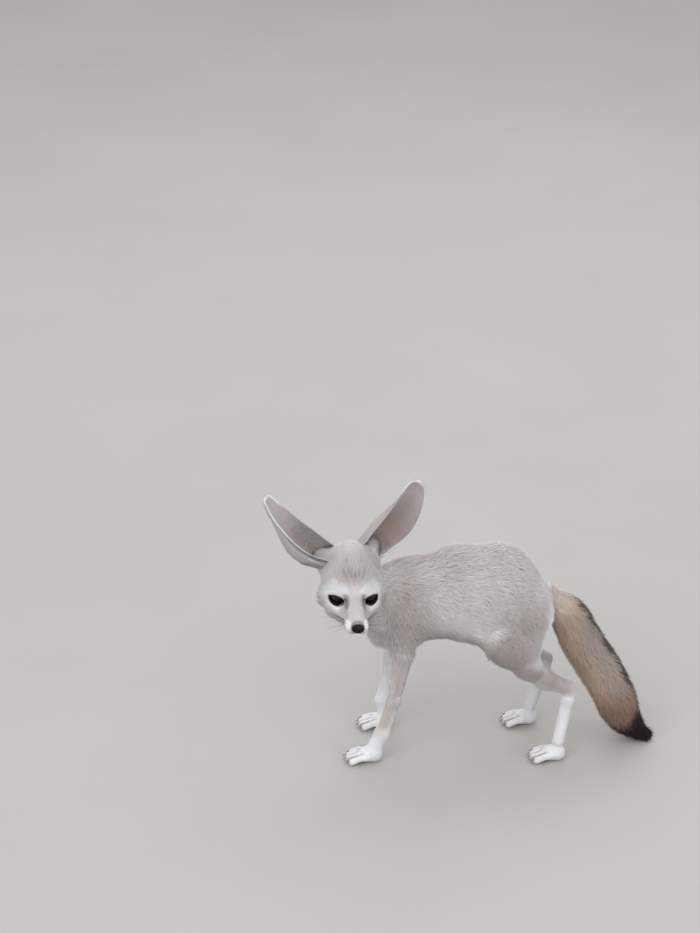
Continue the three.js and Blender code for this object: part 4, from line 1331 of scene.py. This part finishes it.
class FENNEC_OT_ears(bpy.types.Operator):
    """The large ears: thin cups of skin with short fur, a white edge and long hairs inside"""
    bl_idname = "fennec.ears"
    bl_label = "Ears"

    def execute(self, context):
        settings = context.scene.fennec
        tones = tone_table(settings)
        rng = np.random.default_rng(13)
        for name, ear in EARS.items():
            rows = np.linspace(0, 1, EAR_ROWS)
            rows = mix(EAR_START, EAR_TOP, 0.6 * rows + 0.4 * np.sin(math.pi / 2 * rows))
            columns = np.linspace(-1, 1, EAR_COLUMNS)
            height, column = np.meshgrid(rows, columns, indexing="ij")
            place, inwards, _, _ = ear_sheet(ear, height, column)
            half = sheet_half(column)[..., None]
            inner = (place + inwards * half).reshape(-1, 3)
            outer = (place - inwards * half).reshape(-1, 3)
            index = np.arange(height.size).reshape(height.shape)
            a, b, c, d = index[:-1, :-1], index[:-1, 1:], index[1:, 1:], index[1:, :-1]
            inside = np.stack([a, b, c, d], -1).reshape(-1, 4)
            edge = np.concatenate([index[0, :-1], index[:-1, -1], index[-1, :0:-1], index[:0:-1, 0]])
            after = np.roll(edge, -1)
            rim = np.stack([edge, edge + height.size, after + height.size, after], -1)
            faces = np.concatenate([inside, inside[:, ::-1] + height.size, rim])
            made = new_object("ear_skin_" + name, np.concatenate([inner, outer]), faces, MATERIALS["skin"])
            height, lateral = height.ravel(), column.ravel() * ear.side
            colours = ear_inside(height, lateral, tones), ear_back(height, lateral, tones)
            set_colours(made, np.concatenate(colours))
            set_map(made, np.concatenate([unrolled(inner, "ear_" + name)] * 2))
            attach(made, "root")
            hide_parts("ear_" + name)
            for part, hair in EAR_HAIR.items():
                self.coat(f"coat_ear_{name}_{part}", part, ear, hair, rng, settings.density, tones)
        return {"FINISHED"}

    def coat(self, name, part, ear, hair, rng, density, tones):
        count = int(hair.number * density)
        height, lateral = rng.uniform(*hair.heights, count), rng.uniform(*hair.columns, count)
        if part == "wisps":
            low, high = hair.heights
            height = low + (height - low) ** 2 / (high - low)
        if part == "rim":
            inner = (rng.random(count) < 0.3) & (height > 0.7)
            lateral = np.where(inner, -lateral, lateral)
        place, inwards, up, over = ear_sheet(ear, height, lateral * ear.side)
        over = over * ear.side
        half = sheet_half(lateral)[:, None]
        edge = np.sign(lateral)[:, None]
        if part in ("back", "ruff"):
            out, lie, roots = -inwards, up, place - inwards * half
            colour = ear_back(height, lateral, tones)
            if part == "ruff":
                colour = mix(colour, tones["cream"], 0.3)
        elif part == "inside":
            out, lie, roots = inwards, up - over * edge * 0.5, place + inwards * half
            colour = mix(ear_inside(height, lateral, tones), tones["cream"], 0.5)
        elif part == "rim":
            out, lie = over * edge + inwards * 0.2, up * 0.8 - inwards * 0.5
            roots = place - over * edge * 0.3
            colour = np.broadcast_to(tones["white"], (count, 3))
        else:
            across = 0.9 if part == "wisps" else 0
            out, lie, roots = inwards, up * 0.8 + over * across, place + inwards * half
            colour = mix(tones["cream"], tones["tan"], rng.random((count, 1)))
            if part == "base":
                colour = mix(ear_inside(height, lateral, tones), tones["cream"], rng.random((count, 1)) * 0.6)
        out = unit(out)
        lie = unit(lie - out * dot(lie, out)[:, None])
        lie = unit(lie + np.cross(out, lie) * rng.normal(0, 0.15, count)[:, None])
        length, width = rng.uniform(*hair.length, count), rng.uniform(*hair.width, count)
        start = np.radians(rng.normal(hair.start, 6, count))
        end = np.radians(rng.normal(hair.end, 5, count))
        spots = unrolled(roots, "ear_left" if ear.side == LEFT else "ear_right")
        tufts = Tufts(roots, out, lie, length, width, start, end, colour, spots)
        softness = {"base": SOFTNESS, "rim": RIM_SOFTNESS}.get(part, EDGE_SOFTNESS)
        add_coat(name, tufts, rng, 3 if part in ("wisps", "base") else 1, softness)


EYE_RINGS, EYE_SIDES = 49, 96
EYE_SINK = 0.15
CORNEA = (0.05, 0.5)  # its height as a share of the eye's radius, and how wide it is, in radians
IRIS_REACH = 0.72
PUPIL = (1.7, 0.42)  # how much narrower than high, and its half height


class FENNEC_OT_eyes(bpy.types.Operator):
    """Dark, wet eyes"""
    bl_idname = "fennec.eyes"
    bl_label = "Eyes"

    def execute(self, context):
        material = eye_finish()
        for name, side in SIDES:
            outwards, upwards, look = eye_axes(side)
            tilt = np.linspace(0, math.pi, EYE_RINGS)[:, None]
            turn = np.linspace(0, 2 * math.pi, EYE_SIDES, endpoint=False)[None]
            shape = (EYE_RADIUS - EYE_SINK) * (1 + CORNEA[0] * np.exp(-(tilt / CORNEA[1]) ** 2))
            x, y, z = np.sin(tilt) * np.cos(turn), np.sin(tilt) * np.sin(turn), np.cos(tilt) + 0 * turn
            place = eye_centre(side) + (x * shape)[..., None] * outwards + (y * shape)[..., None] * upwards
            place = place + (z * shape)[..., None] * look
            index = np.arange(x.size).reshape(x.shape)
            a, b = index[:-1], index[1:]
            faces = np.stack([a, b, np.roll(b, -1, 1), np.roll(a, -1, 1)], -1).reshape(-1, 4)
            made = new_object("eyeball_" + name, place.reshape(-1, 3), faces, material)
            iris = (tilt < IRIS_REACH) & (np.hypot(x * PUPIL[0], y) > PUPIL[1])
            set_numbers(made, (iris * np.ones_like(x)).ravel(), "iris")
            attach(made, "root")
            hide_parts("eye_" + name)
        return {"FINISHED"}


NOSE_SIZE = (5.3, 5.8, 4.5)
NOSE_ROOM = 9
NOSE_DETAIL = 0.3
NOSE_MELT = 0.7


class FENNEC_OT_nose(bpy.types.Operator):
    """The nose pad with its nostrils"""
    bl_idname = "fennec.nose"
    bl_label = "Nose"

    def execute(self, context):
        centre = in_head(NOSE_FORWARD, 0, NOSE_UP)
        grid = Grid(centre - NOSE_ROOM, centre + NOSE_ROOM, NOSE_DETAIL)
        part, places = grid.places(grid.low, centre + NOSE_ROOM)
        forward, left, up = head_places(places)
        forward, up = forward - NOSE_FORWARD, up - NOSE_UP
        pad = (np.linalg.norm(np.stack([forward, left, up], -1) / NOSE_SIZE, axis=-1) - 1) * 4.6
        side = np.abs(left)
        nostril = np.sqrt((forward - 4.3) ** 2 / 2 + (side - 2.7) ** 2 + ((up + 0.2) * 0.8) ** 2) - 1.15
        slit = np.hypot(np.hypot((side - 4.4) * 0.6, up + 0.4), (forward - 2.8) * 0.5) - 0.75
        cleft = np.hypot(side, np.maximum(4.4 - forward, 0)) - 0.35
        cleft = np.where(up < 1, cleft, UNCUT)
        for cut in (nostril, slit, cleft):
            pad = -melted(-pad, cut, NOSE_MELT)
        grid.values[part] = pad
        points, faces = grid.surface()
        made = new_object("nose_pad", points, faces, nose_finish())
        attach(made, "root")
        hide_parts("nose")
        return {"FINISHED"}


def curved_cones(starts, directions, bends, lengths, radius, rings, sides):
    """Tapered curved horns, for whiskers and claws: one closed surface for each."""
    points, faces = [], []
    for start, direction, bend, length in zip(starts, directions, bends, lengths):
        direction = unit(direction)
        side = unit(np.cross(direction, UP + at(0.01, 0.02, 0)))
        base = sum(len(group) for group in points)
        rows = []
        for n in range(rings):
            share = n / rings
            middle = start + direction * (length * share) + bend * share ** 2
            ahead = unit(direction * length + bend * 2 * share)
            u = unit(side - ahead * (side @ ahead))
            w = np.cross(ahead, u)
            for s in range(sides):
                angle = 2 * math.pi * s / sides
                out = u * math.cos(angle) + w * math.sin(angle)
                rows.append(middle + out * radius * (1 - share) ** 0.8)
        rows.append(start + direction * length + bend)
        rows.append(start)
        points.append(np.array(rows))
        for n in range(rings - 1):
            for s in range(sides):
                a, b = base + n * sides + s, base + n * sides + (s + 1) % sides
                faces += [(a, b, b + sides), (a, b + sides, a + sides)]
        last = base + rings * sides
        for s in range(sides):
            low, high = base + s, base + (s + 1) % sides
            end = base + (rings - 1) * sides
            faces += [(end + s, end + (s + 1) % sides, last), (high, low, last + 1)]
    return np.concatenate(points), np.array(faces)


CLAW_LENGTH, CLAW_RADIUS = 5.0, 0.95


class FENNEC_OT_claws(bpy.types.Operator):
    """Short claws of pale horn"""
    bl_idname = "fennec.claws"
    bl_label = "Claws"

    def execute(self, context):
        starts, directions, bends = [], [], []
        for leg in LEGS.values():
            x, y, _ = leg.heel
            for toe in TOES:
                starts.append(at(x - leg.reach - 1.6 + abs(toe) * 3, y + toe * 6, 5.4))
                directions.append(at(-1, toe * 0.05, 0.02))
                bends.append(at(0.3, 0, -2.6))
        lengths = [CLAW_LENGTH] * len(starts)
        points, faces = curved_cones(starts, directions, bends, lengths, CLAW_RADIUS, 7, 10)
        material = plain_finish("claw", (0.13, 0.11, 0.1), (0.3, 0.27, 0.25), 900, 0.35)
        made = new_object("claws", points, faces, material)
        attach(made, "root")
        return {"FINISHED"}


WHISKER_ROWS, WHISKERS_IN_ROW = 3, 4
WHISKER_LENGTH, WHISKER_RADIUS = 27, 0.13


class FENNEC_OT_whiskers(bpy.types.Operator):
    """Long thin whiskers at the muzzle"""
    bl_idname = "fennec.whiskers"
    bl_label = "Whiskers"

    def execute(self, context):
        rng = np.random.default_rng(14)
        starts, directions, bends, lengths = [], [], [], []
        for side in (LEFT, RIGHT):
            for row in range(WHISKER_ROWS):
                for n in range(WHISKERS_IN_ROW):
                    starts.append(in_head(24 + 2.6 * n, side * (9.9 - 0.2 * n * n), -11.5 - 2.2 * row))
                    way = towards(-0.35 + 0.09 * n, side, 0.28 - 0.26 * row)
                    directions.append(unit(way + rng.normal(0, 0.06, 3)))
                    bends.append(towards(-4, 0, -4.5) * rng.uniform(0.5, 1.3))
                    shorter = 3 * abs(n - 1.0) + 3 * row
                    lengths.append((WHISKER_LENGTH - shorter) * rng.uniform(0.8, 1.1))
        points, faces = curved_cones(starts, directions, bends, lengths, WHISKER_RADIUS, 8, 4)
        material = plain_finish("whisker", (0.012, 0.01, 0.009), (0.05, 0.04, 0.035), 500, 0.4)
        made = new_object("whiskers", points, faces, material)
        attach(made, "root")
        return {"FINISHED"}


CAMERA_PLACE = at(-170.514, -2166.591, 1304.659)
CAMERA_ELEVATION, CAMERA_AZIMUTH = math.radians(24.969), math.radians(-1.6113)
SENSOR = 36
FOCAL_LENGTH = 2600 / 933  # for each unit of the picture's longer side
LIGHTS = (
    ("key", (-1.0, -1.6, 1.7), 2.0, 25, (1, 0.99, 0.98)),
    ("fill", (1.6, -1.2, 1.3), 1.6, 11, (0.97, 0.985, 1)),
    ("rim", (0.2, 1.4, 1.9), 1.6, 14, (1, 1, 1)),
)
LIT_PLACE = (0, 0, 0.12)
SKY = (0.9, 0.92, 0.95, 1)
FLOOR_REACH = 6


class FENNEC_OT_stage(bpy.types.Operator):
    """The camera, soft lights and plain floor"""
    bl_idname = "fennec.stage"
    bl_label = "Stage"

    def execute(self, context):
        scene = context.scene
        camera = bpy.data.objects.new("camera", bpy.data.cameras.new("camera"))
        scene.collection.objects.link(camera)
        level = at(math.sin(CAMERA_AZIMUTH), -math.cos(CAMERA_AZIMUTH), 0)
        back = level * math.cos(CAMERA_ELEVATION) + UP * math.sin(CAMERA_ELEVATION)
        place = CAMERA_PLACE * MM + SHIFT
        right = unit(np.cross(UP, back))
        upwards = np.cross(back, right)
        camera.matrix_world = Matrix.Translation(Vector(place)) @ Matrix(
            np.stack([right, upwards, back], 1).tolist()).to_4x4()
        camera.data.sensor_width = SENSOR
        camera.data.lens = SENSOR * FOCAL_LENGTH
        camera.data.clip_end = 50
        scene.camera = camera
        world = scene.world or bpy.data.worlds.new("World")
        scene.world = world
        world.use_nodes = True
        backdrop = world.node_tree.nodes["Background"]
        backdrop.inputs["Color"].default_value = SKY
        backdrop.inputs["Strength"].default_value = 0.9
        for name, spot, size, energy, tint in LIGHTS:
            light = bpy.data.lights.new(name, "AREA")
            light.size, light.energy, light.color = size, energy, tint
            lamp = bpy.data.objects.new(name, light)
            scene.collection.objects.link(lamp)
            lamp.location = spot
            aim = Vector(LIT_PLACE) - Vector(spot)
            lamp.rotation_euler = aim.to_track_quat("-Z", "Y").to_euler()
        finish = Finish("floor")
        grain = finish.noise(3)
        finish.set(base_color=finish.mix(grain, (0.42, 0.40, 0.38, 1), (0.47, 0.455, 0.43, 1)), roughness=0.9)
        mesh = bpy.data.meshes.new("floor")
        corners = [(x * FLOOR_REACH, y * FLOOR_REACH, 0) for x, y in ((-1, -1), (1, -1), (1, 1), (-1, 1))]
        mesh.from_pydata(corners, [], [(0, 1, 2, 3)])
        mesh.materials.append(finish.material)
        floor = bpy.data.objects.new("floor", mesh)
        scene.collection.objects.link(floor)
        scene.view_settings.view_transform = "Standard"
        return {"FINISHED"}


class FENNEC_PT_panel(bpy.types.Panel):
    """The settings, and each piece in the order that it is made"""
    bl_label = "Fennec fox"
    bl_space_type = "VIEW_3D"
    bl_region_type = "UI"
    bl_category = "Fennec"

    def draw(self, context):
        for name in FennecSettings.__annotations__:
            self.layout.prop(context.scene.fennec, name)
        for step in STEPS:
            self.layout.operator(f"fennec.{step}")


CLASSES = (
    FennecSettings, FENNEC_OT_skin, FENNEC_OT_body_coat, FENNEC_OT_tail_coat, FENNEC_OT_ears, FENNEC_OT_eyes,
    FENNEC_OT_nose, FENNEC_OT_claws, FENNEC_OT_whiskers, FENNEC_OT_stage, FENNEC_PT_panel,
)
STEPS = ("skin", "body_coat", "tail_coat", "ears", "eyes", "nose", "claws", "whiskers", "stage")


def register():
    for one in CLASSES:
        bpy.utils.register_class(one)
    bpy.types.Scene.fennec = bpy.props.PointerProperty(type=FennecSettings)


def unregister():
    del bpy.types.Scene.fennec
    for one in reversed(CLASSES):
        bpy.utils.unregister_class(one)


def main():
    register()
    for step in STEPS:
        getattr(bpy.ops.fennec, step)()


if __name__ == "__main__":
    main()
